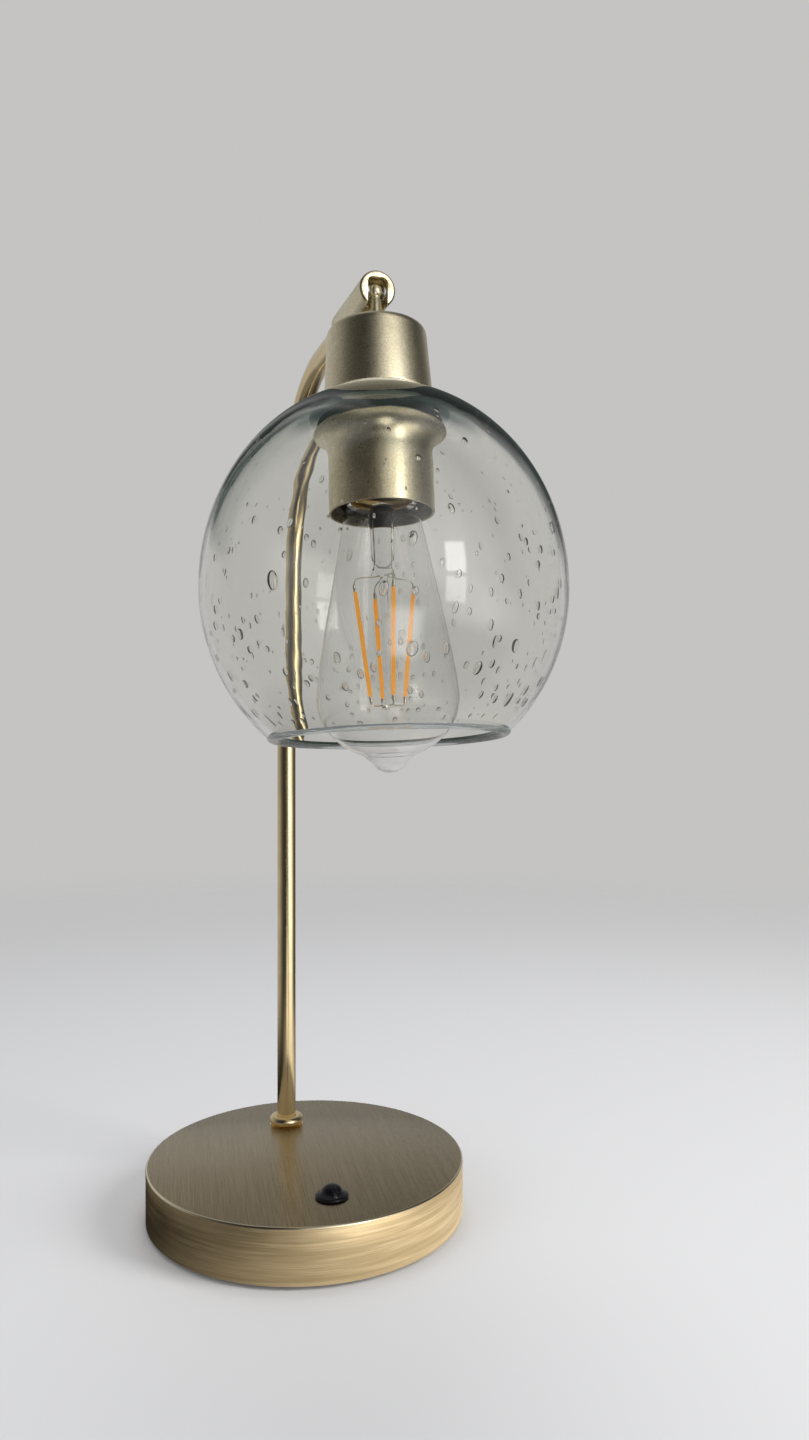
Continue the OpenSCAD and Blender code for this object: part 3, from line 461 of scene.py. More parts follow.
def clear_glass(name, wave, clear, cloudy, ior=1.5, soak=None, neck=None):
    """Blown glass with a slow ripple in its faces.

    Each face tints what passes by clear to cloudy, soak is how fast the glass swallows red, green
    and blue, and neck is a darker tint painted on the front of the neck as painted shade.
    """
    p = Paint(name, Transmission_Weight=1.0, IOR=ior, Roughness=0.0, Specular_IOR_Level=SHINE)
    swirl = p.noise(scale=30, detail=2)
    tint = p.blend(swirl, clear, cloudy)
    if neck:
        # Painted shade: the neck's front gets a darker tint, and its faces mirror less there
        split = p.add("SeparateXYZ", {"Vector": p.place()}).outputs
        uneven = p.math("MULTIPLY", p.noise(scale=18, detail=1), NECK_SHADE_UNEVEN)
        high = p.span(p.math("ADD", split["Z"], uneven), *NECK_SHADE_RISE)
        forward = p.math("ADD", split["Y"], p.math("MULTIPLY", split["X"], NECK_SHADE_TURN))
        painted_neck_shade = p.math("MULTIPLY", high, p.span(forward, *NECK_SHADE_FRONT))
        tint = p.blend(painted_neck_shade, tint, neck)
        p.set("Specular IOR Level", p.span(painted_neck_shade, 0, 1, SHINE, NECK_SHADE_SHINE))
    p.set("Base Color", tint)
    p.bump(p.noise(p.stretched((70, 70, 26)), detail=2), wave, 0.0006)
    if soak:
        most = max(soak)
        tint = colour(*(1 - value/most for value in soak))
        volume = p.add("VolumeAbsorption", {"Color": tint, "Density": most})
        p.tree.links.new(volume.outputs["Volume"], p.tree.nodes["Material Output"].inputs["Volume"])
    return p.material


def polished_rim():
    """The fire-polished rim, where light caught in the wall comes out, painted in as a pale cloudy tint."""
    p = Paint("rim_glass", Transmission_Weight=0.7, IOR=1.3, Roughness=0.08)
    cords = p.noise(scale=140)
    # Painted light: the pale tint stands for light caught in the wall
    p.tint(cords, (0.66, 0.70, 0.68), (0.80, 0.83, 0.81))
    p.bump(cords, 0.2, 0.0002)
    return p.material


def phosphor_painted_glow():
    """The amber coating of the filament sticks, with a painted glow, as the bulb is not lit."""
    p = Paint("phosphor_painted_glow", Roughness=0.55, Emission_Strength=0.5)
    # Painted glow: an amber emission on the unlit sticks
    p.shader.inputs["Emission Color"].default_value = colour(1.0, 0.40, 0.05)
    beads = p.noise(scale=900)
    p.tint(beads, (1.0, 0.42, 0.05), (1.0, 0.58, 0.14))
    p.bump(beads, 0.3, 0.0001)
    return p.material


MAT = {
    "lid": shaded_brushed_lid(),
    "side": brushed_side(),
    "tube": polished("polished_tube"),
    "turned": polished("turned_gold"),
    "edge": polished("bevel_gold", tint=(0.92, 0.82, 0.60), rough=(0.1, 0.16)),
    "satin": satin_gold(),
    "brass": plain_metal("plain_brass", (0.62, 0.46, 0.20), (0.80, 0.62, 0.30)),
    "aged": plain_metal("aged_brass", (0.12, 0.085, 0.05), (0.22, 0.16, 0.09)),
    "zinc": plain_metal("zinc_steel", (0.42, 0.43, 0.44), (0.68, 0.69, 0.70)),
    "nickel": plain_metal("nickel", (0.60, 0.56, 0.48), (0.78, 0.74, 0.64), (0.14, 0.24)),
    "iron": cast_iron(),
    "black": gloss_black(),
    "phenolic": moulded("phenolic", (0.016, 0.009, 0.007), (0.045, 0.026, 0.018), shine=0.2),
    "cream": moulded("cream_plastic", (0.62, 0.58, 0.46), (0.76, 0.72, 0.60)),
    "jacket": moulded("lead_jacket", (0.66, 0.64, 0.58), (0.78, 0.76, 0.70)),
    "foam": rubber("foot_foam", 1400),
    "rubber": rubber("gasket_rubber", 2600),
    # The cap's seal: pale silicone, its tone also a painted highlight for the bright line under the cap
    "silicone": moulded("pale_silicone_highlight", (0.84, 0.79, 0.66), (0.92, 0.88, 0.77), (0.15, 0.25)),
    # The shade's glass; its neck tint is painted shade on the front of the shoulder
    "glass": clear_glass(
        "seeded_glass", 0.10, (0.950, 0.943, 0.916), (0.932, 0.928, 0.900),
        soak=(4, 2.6, 3.4), neck=(0.07, 0.12, 0.12)),
    "bulb": clear_glass("bulb_clear_glass", 0.04, (1, 1, 1), (0.985, 0.99, 0.99), ior=1.35),
    "rim": polished_rim(),
    "mount": clear_glass("bulb_mount_glass", 0.02, (1, 1, 1), (0.985, 0.99, 0.99), ior=1.12),
    "amber": phosphor_painted_glow(),
}

CAD_FINISH = {
    "iron": ["base_weight"],
    "zinc": [
        "bottom_plate", "plate_screws", "stem_nipple", "stem_lock_washer", "stem_nut",
        "sleeve_set_screw", "pivot_washers", "switch_nut", "switch_shaft", "stud_nut",
        "holder_bracket", "holder_screws", "bulb_contact",
    ],
    "satin": ["arm_sleeve", "swivel_stud"],
    "nickel": ["pivot_pin"],
    "brass": ["switch_terminals", "terminal_screws", "holder_contact"],
    "phenolic": ["switch_body", "bulb_insulator"],
    "jacket": ["arm_lead", "base_wires", "head_leads"],
    "cream": ["splice_caps"],
}


def dress_cad_nodes():
    """The CAD nodes that stay in view get their finish and a fine eased edge."""
    for finish, names in CAD_FINISH.items():
        for name in names:
            node = frame["nodes"][name]
            node.data.materials.clear()
            node.data.materials.append(MAT[finish])
            node.data.shade_smooth()
            weld = node.modifiers.new("weld", "WELD")
            weld.merge_threshold = 1e-6
            edge = node.modifiers.new("edge", "BEVEL")
            edge.width = 0.15*MM
            edge.segments = 2
            edge.limit_method = "ANGLE"
            edge.angle_limit = math.radians(40)
            edge.harden_normals = True


# Base

def make_base():
    radius, low, top = measure("base_cover")
    sheet = 1.2*MM
    bevel = 0.8*MM
    skirt = eased([(radius - sheet, low), (radius, low), (radius, top - bevel)], 0.12*MM)
    edge = [(radius - bevel*0.35, top - bevel*0.35), (radius - bevel, top)]
    outline = skirt + edge + [(0, top), (0, top - sheet), (radius - sheet, top - sheet)]
    side, lid, bevelled = range(3)
    made = turned_piece("base_shell", outline, ["side", "lid", "edge"], "base", ["base_cover"],
                        around=256)
    for face in made.data.polygons:
        height = face.center.z
        if face.normal.z > 0.9 and height > top - bevel*0.2:
            face.material_index = lid
        elif height > top - bevel*1.05 and face.center.xy.length > radius - bevel*1.1:
            face.material_index = bevelled
        else:
            face.material_index = side

    radius, low, top = measure("foot_pad")
    outline = eased([(0, low), (radius, low), (radius, top), (0, top)], 0.4*MM)
    turned_piece("foot_foam", outline, ["foam"], "base", ["foot_pad"], closed=False)


def make_collar():
    low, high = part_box("stem_collar")
    centre = (low + high)/2
    outer = (high.x - low.x)/2
    tube = (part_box("arm_tube")[1].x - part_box("arm_tube")[0].x)/2
    height = high.z - low.z
    bulge = height/2
    outline = [(tube, 0), (outer - 0.3*MM, 0)]
    outline += arc((outer - bulge, bulge), (bulge, bulge), -75, 90, 16)
    outline += [(tube + 0.5*MM, height - 0.15*MM), (tube + 0.1*MM, height - 0.5*MM)]
    place = Matrix.Translation((centre.x, centre.y, low.z))
    turned_piece("foot_collar", outline, ["turned"], "base", ["stem_collar"], place)


def make_tube():
    low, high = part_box("arm_tube")
    tube = (high.x - low.x)/2
    bend = 82*MM
    straight = 100*MM
    stem_y = high.y - tube
    top_z = high.z - tube
    path = [(0, stem_y, low.z), (0, stem_y, low.z + straight)]
    path += [(0, stem_y - bend + bend*math.cos(a), top_z - bend + bend*math.sin(a))
             for a in np.radians(np.linspace(0, 90, 49))]
    path.append((0, low.y, top_z))
    mesh = swept_mesh("arm_pipe", path, tube, around=64)
    piece("arm_pipe", mesh, ["tube"], "base", ["arm_tube"])


def knob_bar(long_r, foot, top, width=2.6*MM, ridge=0.35*MM, sole=0.9*MM):
    """The raised bar across the knob's dome that fingers turn it by, arched from foot to top."""
    half = width/2
    verts = []
    for a in np.radians(np.linspace(4, 176, 41)):
        y = long_r*math.cos(a)
        z = foot + (top - foot)*math.sin(a)
        verts += [(-half, y, sole), (-half, y, z - ridge), (-half + ridge, y, z),
                  (half - ridge, y, z), (half, y, z - ridge), (half, y, sole)]
    corners = 6
    return new_mesh("knob_bar", verts, ring_faces(len(verts)//corners, corners, capped=True))


def make_knob():
    body = (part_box("switch_knob")[0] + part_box("switch_knob")[1])/2
    skirt, low, top = measure("switch_knob", Matrix.Translation((body.x, body.y, 0)))
    height = top - low
    hub = 4.7*MM
    hub_at = 2.9*MM
    skirt_top = 1.0*MM
    recess = 0.8*MM
    rim = skirt - 2.2*MM
    outline = [(0, recess), (rim, recess), (rim, 0), (skirt - 0.3*MM, 0), (skirt, 0.3*MM)]
    outline += bezier((skirt, skirt_top), (skirt - 0.2*MM, skirt_top + 0.9*MM),
                      (hub + 0.6*MM, hub_at - 0.9*MM), (hub, hub_at), 12)
    outline += arc((0, hub_at), (hub, height - hub_at), 6, 90, 14)
    dome = turned_mesh("knob_dome", outline, around=96)
    bar = knob_bar(skirt - 1.2*MM, skirt_top - 0.2*MM, height)
    knob = welded(joined("knob", [dome, bar]))
    place = Matrix.Translation((body.x, body.y, low))
    piece("knob", knob, ["black"], "knob", ["switch_knob"], place)


def make_bushing():
    low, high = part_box("cord_bushing")
    centre = (low + high)/2
    place = Matrix.Translation((centre.x, 0, centre.z)) @ Matrix.Rotation(-math.pi/2, 4, "X")
    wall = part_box("base_cover")[1].y
    outer = (high.x - low.x)/2
    bore = 3.1*MM
    body = bore + 0.9*MM
    flange = 2*MM
    outline = eased([
        (bore, low.y), (outer, low.y), (outer, low.y + flange), (body, low.y + flange),
        (body, wall), (outer, wall), (outer - 0.5*MM, high.y), (bore + 0.5*MM, high.y),
    ], 0.25*MM, closed=True)
    turned_piece("outlet_bushing", outline, ["black"], "base", ["cord_bushing"],
                 place, around=64)


# Head

def make_cap():
    radius, low, top = measure("socket_cap", HEAD)
    sheet = 1*MM
    top_r = 20.2*MM
    round_r = 3.5*MM
    bore = 3.1*MM
    flank = arc((top_r - round_r, top - round_r), (round_r, round_r), 90, 4, 12)
    # The lower edge is rolled in
    lip = 1.3*MM
    flank += arc((radius - lip, low + lip), (lip, lip), 0, -80, 8)
    inner = [(radius - lip - 0.2*MM, low + 0.5*MM), (radius - sheet, low + lip)]
    inner += arc((top_r - round_r, top - round_r), (round_r - sheet, round_r - sheet), 4, 90, 8)
    outline = eased([(bore, top)] + flank + inner + [(bore, top - sheet)], 0.18*MM, closed=True)
    turned_piece("cap_shell", outline, ["satin"], "head", ["socket_cap"], around=192)


def make_cup():
    radius, low, top = measure("retaining_cup", HEAD)
    body = 21*MM
    sheet = 1*MM
    flare_end = -68.5*MM
    centre = (radius + 1.2*MM, flare_end)
    across = centre[0] - body
    down = top - flare_end - 0.6*MM
    outer = arc(centre, (across, down), 99, 180, 20)
    inner = arc(centre, (across + sheet, down + sheet), 180, 107, 20)
    outline = [(radius - sheet, top), (radius, top)] + outer + [(body, low), (body - sheet, low)] + inner
    turned_piece("cup_shell", eased(outline, 0.2*MM, closed=True), ["satin"], "head",
                 ["retaining_cup"], around=192)


def make_gasket(node, name, look, most=1.0):
    """A soft ring with its node's own outline, no wider than most."""
    p = points_of(node, HEAD)
    radii = np.minimum(np.hypot(p[:, 0], p[:, 1]), most)
    # Each distinct ring of points, in order round the section
    rings = sorted({(round(float(r), 6), round(float(z), 6)) for r, z in zip(radii, p[:, 2])})
    middle = np.mean(rings, 0)
    rings.sort(key=lambda q: math.atan2(q[1] - middle[1], q[0] - middle[0]))
    outline = eased(rings, 0.15*MM, closed=True, corner=30)
    turned_piece(name, outline, [look], "head", [node], around=128)


def make_gaskets():
    cup_r = measure("retaining_cup", HEAD)[0]
    # The cap's seal is pale, partly silicone's own tone and partly a painted highlight
    make_gasket("cap_gasket", "cap_seal", "silicone")
    make_gasket("shade_gasket", "glass_seal", "rubber", cup_r - 1.2*MM)


def make_holder():
    radius, low, top = measure("lampholder_body", HEAD)
    neck = 16*MM
    shoulder = -56*MM
    lip_bore = 16.5*MM
    lip_depth = 4.5*MM
    bore = 14.6*MM
    floor = -57*MM
    outline = eased([
        (0, top), (neck, top), (neck, shoulder), (radius, shoulder), (radius, low), (lip_bore, low),
        (lip_bore, low + lip_depth), (bore, low + lip_depth), (bore, floor), (0, floor)], 0.5*MM)
    turned_piece("holder_moulding", outline, ["phenolic"], "head", ["lampholder_body"],
                 closed=False, around=128)


def threaded(name, radius, low, high, wall, depth, node, look):
    """A thin sheet sleeve with a rolled round thread, which fades out over its first and last turn."""
    pitch = 3.6*MM
    around = 96
    turn_rows = 16
    rise = int(round((high - low)/pitch*turn_rows))
    verts = []
    for side in (0, 1):
        for i in range(rise + 1):
            z = low + (high - low)*i/rise
            fade = min(1, i/turn_rows, (rise - i)/turn_rows)
            for j in range(around):
                a = 2*math.pi*j/around
                wave = math.sin(2*math.pi*(z/pitch) - a)
                r = radius - depth/2 + depth/2*wave*fade - side*wall
                verts.append((r*math.cos(a), r*math.sin(a), z))
    layer = (rise + 1)*around
    outer = ring_faces(rise + 1, around)
    faces = outer + [tuple(layer + k for k in face[::-1]) for face in outer]
    for row in (0, rise):
        for j in range(around):
            m = (j + 1) % around
            quad = [row*around + m, row*around + j, layer + row*around + j, layer + row*around + m]
            faces.append(quad if row == 0 else quad[::-1])
    piece(name, new_mesh(name, verts, faces), [look], "head", [node])


def make_shells():
    radius, low, high = measure("bulb_shell", HEAD)
    threaded("bulb_screw", radius, low, high - 2*MM, 0.4*MM, 1.1*MM, "bulb_shell", "brass")
    radius, low, high = measure("holder_shell", HEAD)
    threaded("holder_sleeve", radius, low, high, 0.5*MM, 0.9*MM, "holder_shell", "aged")


# Glass shade

class Shade:
    """The shade's outline, measured downwards from the swivel: two half ovals that meet at mid."""
    outer_r = 72.2*MM
    mid = 123*MM
    up = 80.5*MM
    low = 76*MM
    rim = 180.5*MM
    wall = 2.8*MM
    top_extra = 1.7*MM
    hole_r = 20.5*MM
    land_r = 23*MM
    under_land_r = 24*MM

    @classmethod
    def outer(cls, angle):
        height = cls.up if angle < 90 else cls.low
        a = math.radians(angle)
        return cls.outer_r*math.sin(a), cls.mid - height*math.cos(a)

    @classmethod
    def inner(cls, angle):
        height = cls.up - cls.wall - cls.top_extra if angle < 90 else cls.low - cls.wall
        a = math.radians(angle)
        return (cls.outer_r - cls.wall)*math.sin(a), cls.mid - height*math.cos(a)

    @classmethod
    def rim_angle(cls, wall=0.0):
        return math.degrees(math.acos(-(cls.rim - cls.mid)/(cls.low - wall)))


def ripple(point):
    """Slow unevenness of blown glass, from -1 to 1, stretched downwards as it was drawn."""
    return noise.noise(Vector((point[0]*26, point[1]*26, point[2]*13 + 4.0)))


def shade_skin():
    start = math.degrees(math.asin(Shade.land_r/Shade.outer_r))
    start_in = math.degrees(math.asin(Shade.under_land_r/(Shade.outer_r - Shade.wall)))
    outside = [Shade.outer(a) for a in np.linspace(start, Shade.rim_angle(), 90)]
    inside = [Shade.inner(a) for a in np.linspace(Shade.rim_angle(Shade.wall), start_in, 90)]
    rim_out = outside[-1][0]
    rim_in = inside[0][0]
    half = (rim_out - rim_in)/2
    rim = arc(((rim_out + rim_in)/2, Shade.rim), (half*1.04, half*0.9), 12, 168, 12)
    outline = [(Shade.hole_r, outside[0][1])] + outside + rim + inside
    outline.append((Shade.hole_r, inside[-1][1]))
    mesh = turned_mesh("shade_skin", [(r, -s) for r, s in outline], closed=True, around=208)
    # The faces ripple, the inner one more, and both are true at the land and at the rim
    still_r = Shade.land_r*1.15
    still_depth = Shade.rim - 1*MM
    for v in mesh.vertices:
        radius = v.co.xy.length
        depth = -v.co.z
        if radius <= still_r or depth > still_depth:
            continue
        up = Shade.up if depth < Shade.mid else Shade.low
        level = math.sqrt(max(0.0, 1 - ((depth - Shade.mid)/up)**2))*Shade.outer_r
        inner = radius < level - 1.2*MM
        fade = min(1, (radius - still_r)/(8*MM), (still_depth - depth)/(6*MM))
        size = 0.30*MM if inner else 0.08*MM
        shift = ripple(v.co)*size*fade
        v.co.x *= 1 + shift/radius
        v.co.y *= 1 + shift/radius
    return mesh


def bubble_mesh(radii, around, rings):
    """A small closed oval's points and faces, which look inwards as those of a hollow do."""
    verts = [(0, 0, radii[2])]
    for i in range(1, rings):
        a = math.pi*i/rings
        for j in range(around):
            b = 2*math.pi*j/around
            verts.append((radii[0]*math.sin(a)*math.cos(b), radii[1]*math.sin(a)*math.sin(b),
                          radii[2]*math.cos(a)))
    verts.append((0, 0, -radii[2]))
    faces = []
    for j in range(around):
        m = (j + 1) % around
        faces.append((0, 1 + m, 1 + j))
        for i in range(rings - 2):
            a = 1 + i*around
            faces.append((a + j, a + m, a + around + m, a + around + j))
        a = 1 + (rings - 2)*around
        faces.append((a + j, a + m, len(verts) - 1))
    return verts, faces


def bubble_sizes(rng, angle):
    """Half width and half height of a bubble, larger and more drawn out lower down."""
    lower = min(1, max(0, (angle - 40)/70))
    kind = rng.random()
    if kind < 0.11*lower:
        half = rng.uniform(1.3, 2.2)
    elif kind < 0.5*lower + 0.10:
        half = rng.uniform(0.7, 1.2)
    else:
        half = rng.uniform(0.28, 0.65)
    return half*MM, half*rng.uniform(1.2, 2.1)*MM


def bubble_axes(angle, turn, lean):
    """Axes that lie a bubble flat in the wall, its long way down the glass, leant a little."""
    out = Vector((math.cos(turn)*math.sin(angle), math.sin(turn)*math.sin(angle), math.cos(angle)))
    out.normalize()
    round_way = Matrix.Rotation(lean, 3, out) @ Vector((-math.sin(turn), math.cos(turn), 0))
    return Matrix((out, round_way, out.cross(round_way))).transposed()


def shade_bubbles():
    """Seed bubbles spread through the wall, thicker towards the rim."""
    wanted = 460
    most_tries = 12000
    first_angle = 30
    reach = Shade.rim_angle() - 36
    rng = random.Random(11)
    placed = []
    verts = []
    faces = []
    tries = 0
    while len(placed) < wanted and tries < most_tries:
        tries += 1
        angle = first_angle + reach*rng.random()**0.62
        turn = math.radians(rng.uniform(0, 360))
        half_w, half_h = bubble_sizes(rng, angle)
        outer = Shade.outer(angle)
        inner = Shade.inner(angle)
        r = (outer[0] + inner[0])/2
        s = (outer[1] + inner[1])/2
        spot = Vector((r*math.cos(turn), r*math.sin(turn), -s))
        if any((spot - other).length < (half_h + size)*1.15 for other, size in placed):
            continue
        placed.append((spot, half_h))
        axes = bubble_axes(math.radians(angle), turn, rng.uniform(-0.25, 0.25))
        depth = min(0.6*MM, half_w*0.3)
        fineness = (10, 6) if half_w < 0.6*MM else (18, 11)
        small_verts, small_faces = bubble_mesh((depth, half_w, half_h), *fineness)
        start = len(verts)
        verts += [tuple(spot + axes @ Vector(v)) for v in small_verts]
        faces += [tuple(start + k for k in f) for f in small_faces]
    return new_mesh("shade_bubbles", verts, faces)


def make_shade():
    mesh = joined("glass_globe", [shade_skin(), shade_bubbles()])
    for face in mesh.polygons:
        face.material_index = int(face.center.z < -Shade.rim + 0.05*MM)
    piece("glass_globe", mesh, ["glass", "rim"], "head", ["glass_shade"])


# Bulb

class Bulb:
    """The bulb's radii, and its levels measured downwards from the swivel."""
    shell_end = 87*MM
    neck_r = 14.2*MM
    neck_at = 88.4*MM
    wide_r = 28*MM
    wide_at = 165.7*MM
    dome = 24.4*MM
    tip = 195.2*MM
    tip_r = 7.7*MM
    wall = 0.35*MM
    filament_top = 123*MM
    filament_low = 166.7*MM
    top_r = 12*MM
    low_r = 7*MM
    filament_r = 0.9*MM


def bulb_outline(inset):
    """The glass from its neck down to the end of its tip."""
    neck = (Bulb.neck_r - inset, Bulb.neck_at)
    wide = (Bulb.wide_r - inset, Bulb.wide_at)
    flank = bezier(
        neck, (neck[0] + 5.4*MM, neck[1] + 30*MM), (wide[0] - 0.9*MM, wide[1] - 14*MM), wide, 48)
    reach = math.degrees(math.acos(Bulb.tip_r/Bulb.wide_r))
    dome = arc((0, Bulb.wide_at), (Bulb.wide_r - inset, Bulb.dome - inset), 2, reach - 5, 28)
    # A soft neck joins the dome to the round tip left where the glass was sealed off
    tip_at = Bulb.wide_at + Bulb.dome*math.sin(math.radians(reach)) + 0.7*MM
    tip = arc((0, tip_at), (Bulb.tip_r*0.93 - inset, Bulb.tip - tip_at - inset), 14, 90, 16)
    return flank + dome[1:] + tip


def make_bulb_glass():
    stub_r = 12.5*MM
    stub_from = Bulb.shell_end - 5*MM
    outer = [(stub_r, stub_from), (stub_r, Bulb.shell_end + 0.2*MM)] + bulb_outline(0)
    inner = bulb_outline(Bulb.wall)[::-1] + [(stub_r - Bulb.wall, stub_from)]
    mesh = turned_mesh("bulb_envelope", [(r, -s) for r, s in outer + inner], closed=True, around=160)
    piece("bulb_envelope", mesh, ["bulb"], "head", ["bulb_glass"], sharp=60)


# Outlines of the glass mount, (radius, depth) in mm: its tube from the flare, and its press and rod
MOUNT_TUBE = [
    (0, 0), (2.4, 0.1), (4.4, 1.2), (4.9, 3.0), (4.8, 5.5), (4.6, 11), (4.5, 19), (4.3, 23),
    (2.6, 25.5), (0, 25.9),
]
MOUNT_PRESS = [
    (0, 114.2), (2.6, 114.3), (3.4, 115), (2.6, 116.4), (1.5, 118), (1.5, 166), (2.2, 167.2),
    (2.6, 168.6), (2.2, 170), (0, 170.6),
]


def make_mount():
    """The glass stem inside the bulb: flare, tube, pinch and centre rod."""
    flare = 88.0*MM
    tube = turned_mesh("stem_tube", [(r*MM, -flare - s*MM) for r, s in MOUNT_TUBE], around=64)
    press = turned_mesh("press", [(r*MM, -s*MM) for r, s in MOUNT_PRESS], around=48)
    # Flattened where the wires are sealed in
    for v in press.vertices:
        flat = max(0, 1 - abs(-v.co.z - 115*MM)/(3*MM))
        v.co.x *= 1 + 0.35*flat
        v.co.y *= 1 - 0.55*flat
    mesh = joined("bulb_stem", [tube, press])
    piece("bulb_stem", mesh, ["mount"], "head", ["bulb_mount"], sharp=50)


# Routes of the wires, (distance from the bulb's axis, depth) in mm
UPPER_WIRE = [(1.4, 117.5), (5, 118.3), (9, 118.6), (11.4, 119.4), (12, 121), (12, 122.2)]
LOWER_WIRE = [(2, 168.8), (5.6, 168.9), (6.8, 168.4), (7, 167.4)]
LEAD_WIRE = [(3.6, 90), (3.4, 100), (3.2, 110), (3.6, 114), (5, 118.3)]


def tube_mesh(name, path, angle, radius, around):
    """A swept tube whose path is turned about Z."""
    turn = Matrix.Rotation(angle, 3, "Z")
    return swept_mesh(name, [turn @ Vector(p) for p in path], radius, around)


def route(points, side=1):
    """A wire's route as points in space, on one side of the axis."""
    return [(side*x*MM, 0, -depth*MM) for x, depth in points]


def make_filaments():
    """Four sticks that lean in downwards, with their metal ends and the wires that hold them."""
    steps = 40
    top = Vector((Bulb.top_r, 0, -Bulb.filament_top))
    low = Vector((Bulb.low_r, 0, -Bulb.filament_low))
    way = (low - top).normalized()
    body = [top + way*(low - top).length*t for t in np.linspace(0.03, 0.97, steps)]
    upper_end = [top - way*1.2*MM, top + way*1.6*MM]
    lower_end = [low - way*1.6*MM, low + way*1.0*MM]
    end_r = 0.62*MM
    sticks = []
    ends = []
    wires = []
    for k in range(4):
        angle = k*math.pi/2
        # Narrower at both ends, and a little uneven between them
        radii = [Bulb.filament_r*(0.72 if i in (0, steps - 1) else 1)*(0.95 + 0.05*math.sin(i*2.4 + k))
                 for i in range(steps)]
        sticks.append(tube_mesh("stick", body, angle, radii, 16))
        ends.append(tube_mesh("end", upper_end, angle, end_r, 12))
        ends.append(tube_mesh("end", lower_end, angle, end_r, 12))
        wires.append(tube_mesh("wire", route(UPPER_WIRE), angle, 0.27*MM, 10))
        wires.append(tube_mesh("wire", route(LOWER_WIRE), angle, 0.3*MM, 10))
    # Two lead wires from the press up through the tube
    for side in (-1, 1):
        wires.append(swept_mesh("wire", route(LEAD_WIRE, side), 0.25*MM, 10))
    piece("filament_sticks", joined("filament_sticks", sticks), ["amber"], "head",
          ["led_filaments"])
    piece("filament_ends", joined("filament_ends", ends), ["nickel"], "head")
    piece("filament_wires", joined("filament_wires", wires), ["nickel"], "head",
          ["filament_supports"])


# Stage

# The room that gloss and glass edges mirror. Its walls: (azimuth from the front towards +X, level).
WALLS = [
    (-180, 0.50), (-136, 0.45), (-110, 0.30), (-88, 0.11), (-68, 0.05), (-38, 0.035), (-22, 0.13),
    (-3, 0.80), (12, 1.65), (28, 1.75), (45, 0.95), (64, 0.20), (86, 0.06), (110, 0.11), (138, 0.38),
    (180, 0.50),
]
# Its windows: (azimuth, half width, lowest and highest elevation, softness, level), angles in degrees
WINDOWS = [
    (25, 6.5, -9, 4, 1.2, 2.4),
    (25, 6.5, 6, 21, 1.2, 4.0),
    (-4, 10, -40, -14, 4, 2.4),
]
# How the walls' pattern moves round: (elevation where it starts, where it ends, degrees)
SHIFTS = [(8, -10, -20), (-14, -34, -14), (4, 20, 2)]
# How the walls fade: (elevation where it starts, where it ends, what is taken)
FADES = [(16, 52, 0.55), (-12, -24, 0.90)]
# Where less is taken, towards the back: (azimuth where it starts, where it ends, share)
FADE_LESS = (112, 145, -0.35)

# The azimuths, to either side, from which clear glass mirrors the pale backdrop and not the room
BESIDE = (60, 85)
# The dark upper room that clear glass mirrors behind the lamp: the azimuth of its middle, the distances
# from there where it starts and is full, and the elevations for the same, with its share
DUSK_MIDDLE = 154
DUSK_WIDTH = (32, 16)
DUSK_RISE = (13, 20, 0.94)
# Its lower edge changes by this many degrees for each degree away from an azimuth
DUSK_SLOPE = -0.15
DUSK_LEVEL_AT = 161
# The dark that a second gloss face sees above: elevations where it starts and is full, and its share
SECOND_DUSK = (25, 50, 0.8)
# A ray off metal that leaves through the glass has passed more of its faces than this
OWN_FACES = 2.5

# The desk that gloss sees: the azimuth it is lit from, its highest and lowest level, and where it ends
DESK_LIT_FROM = 50
DESK_LEVEL = 1.0
DESK_LEAST = 0.01
DESK_EDGE = (0.14, 0.45)
# The floor that the camera sees: its radius and where it fades into the backdrop
FLOOR_REACH = 1.6
FLOOR_EDGE = (0.35, 1.5)

# Lights: (name, place, what it is aimed at, width and height, power, tint)
LIGHTS = [
    ("key", (0.95, -0.75, 0.85), (0, -0.05, 0.2), (0.5, 0.8), 12, (1.0, 0.99, 0.97)),
    ("fill", (-1.2, -0.5, 0.7), (0, 0, 0.25), (0.9, 1.2), 4, (0.96, 0.98, 1.0)),
    ("top", (0.1, 0.1, 1.5), (0, 0, 0), (0.8, 0.8), 6, (1, 1, 1)),
]


def make_floor():
    """A pale round floor whose edge fades into the backdrop."""
    mesh = turned_mesh("floor", [(r, 0) for r in np.linspace(0, FLOOR_REACH, 24)], around=96)
    p = Paint("pale_floor", Base_Color=colour(0.74, 0.74, 0.75), Roughness=0.9)
    distance = p.add("VectorMath", {0: p.place()}, operation="LENGTH").outputs["Value"]
    clear = p.add("BsdfTransparent").outputs["BSDF"]
    # Gloss sees a desk lit from the front right, so metal keeps its depth
    x, y = p.add("SeparateXYZ", {"Vector": p.place()}).outputs[:2]
    azimuth = p.math("ARCTAN2", x, p.math("MULTIPLY", y, -1.0))
    turn = p.math("SUBTRACT", azimuth, math.radians(DESK_LIT_FROM))
    facing = p.math("MULTIPLY_ADD", p.math("COSINE", turn), 0.5, 0.5)
    level = p.math("MULTIPLY_ADD", p.math("POWER", facing, 2.0), DESK_LEVEL, DESK_LEAST)
    lit = p.shining("Emission", (1.0, 0.97, 0.93), level)
    desk = p.mixed(p.smooth(distance, *DESK_EDGE), lit, clear)
    both = p.mixed(p.reflected_once(), p.shader.outputs["BSDF"], desk)
    p.finish("Material Output", p.mixed(p.smooth(distance, *FLOOR_EDGE), both, clear))
    mesh.materials.append(p.material)
    floor = new_object("floor", mesh)
    floor.location.z = -0.4*MM


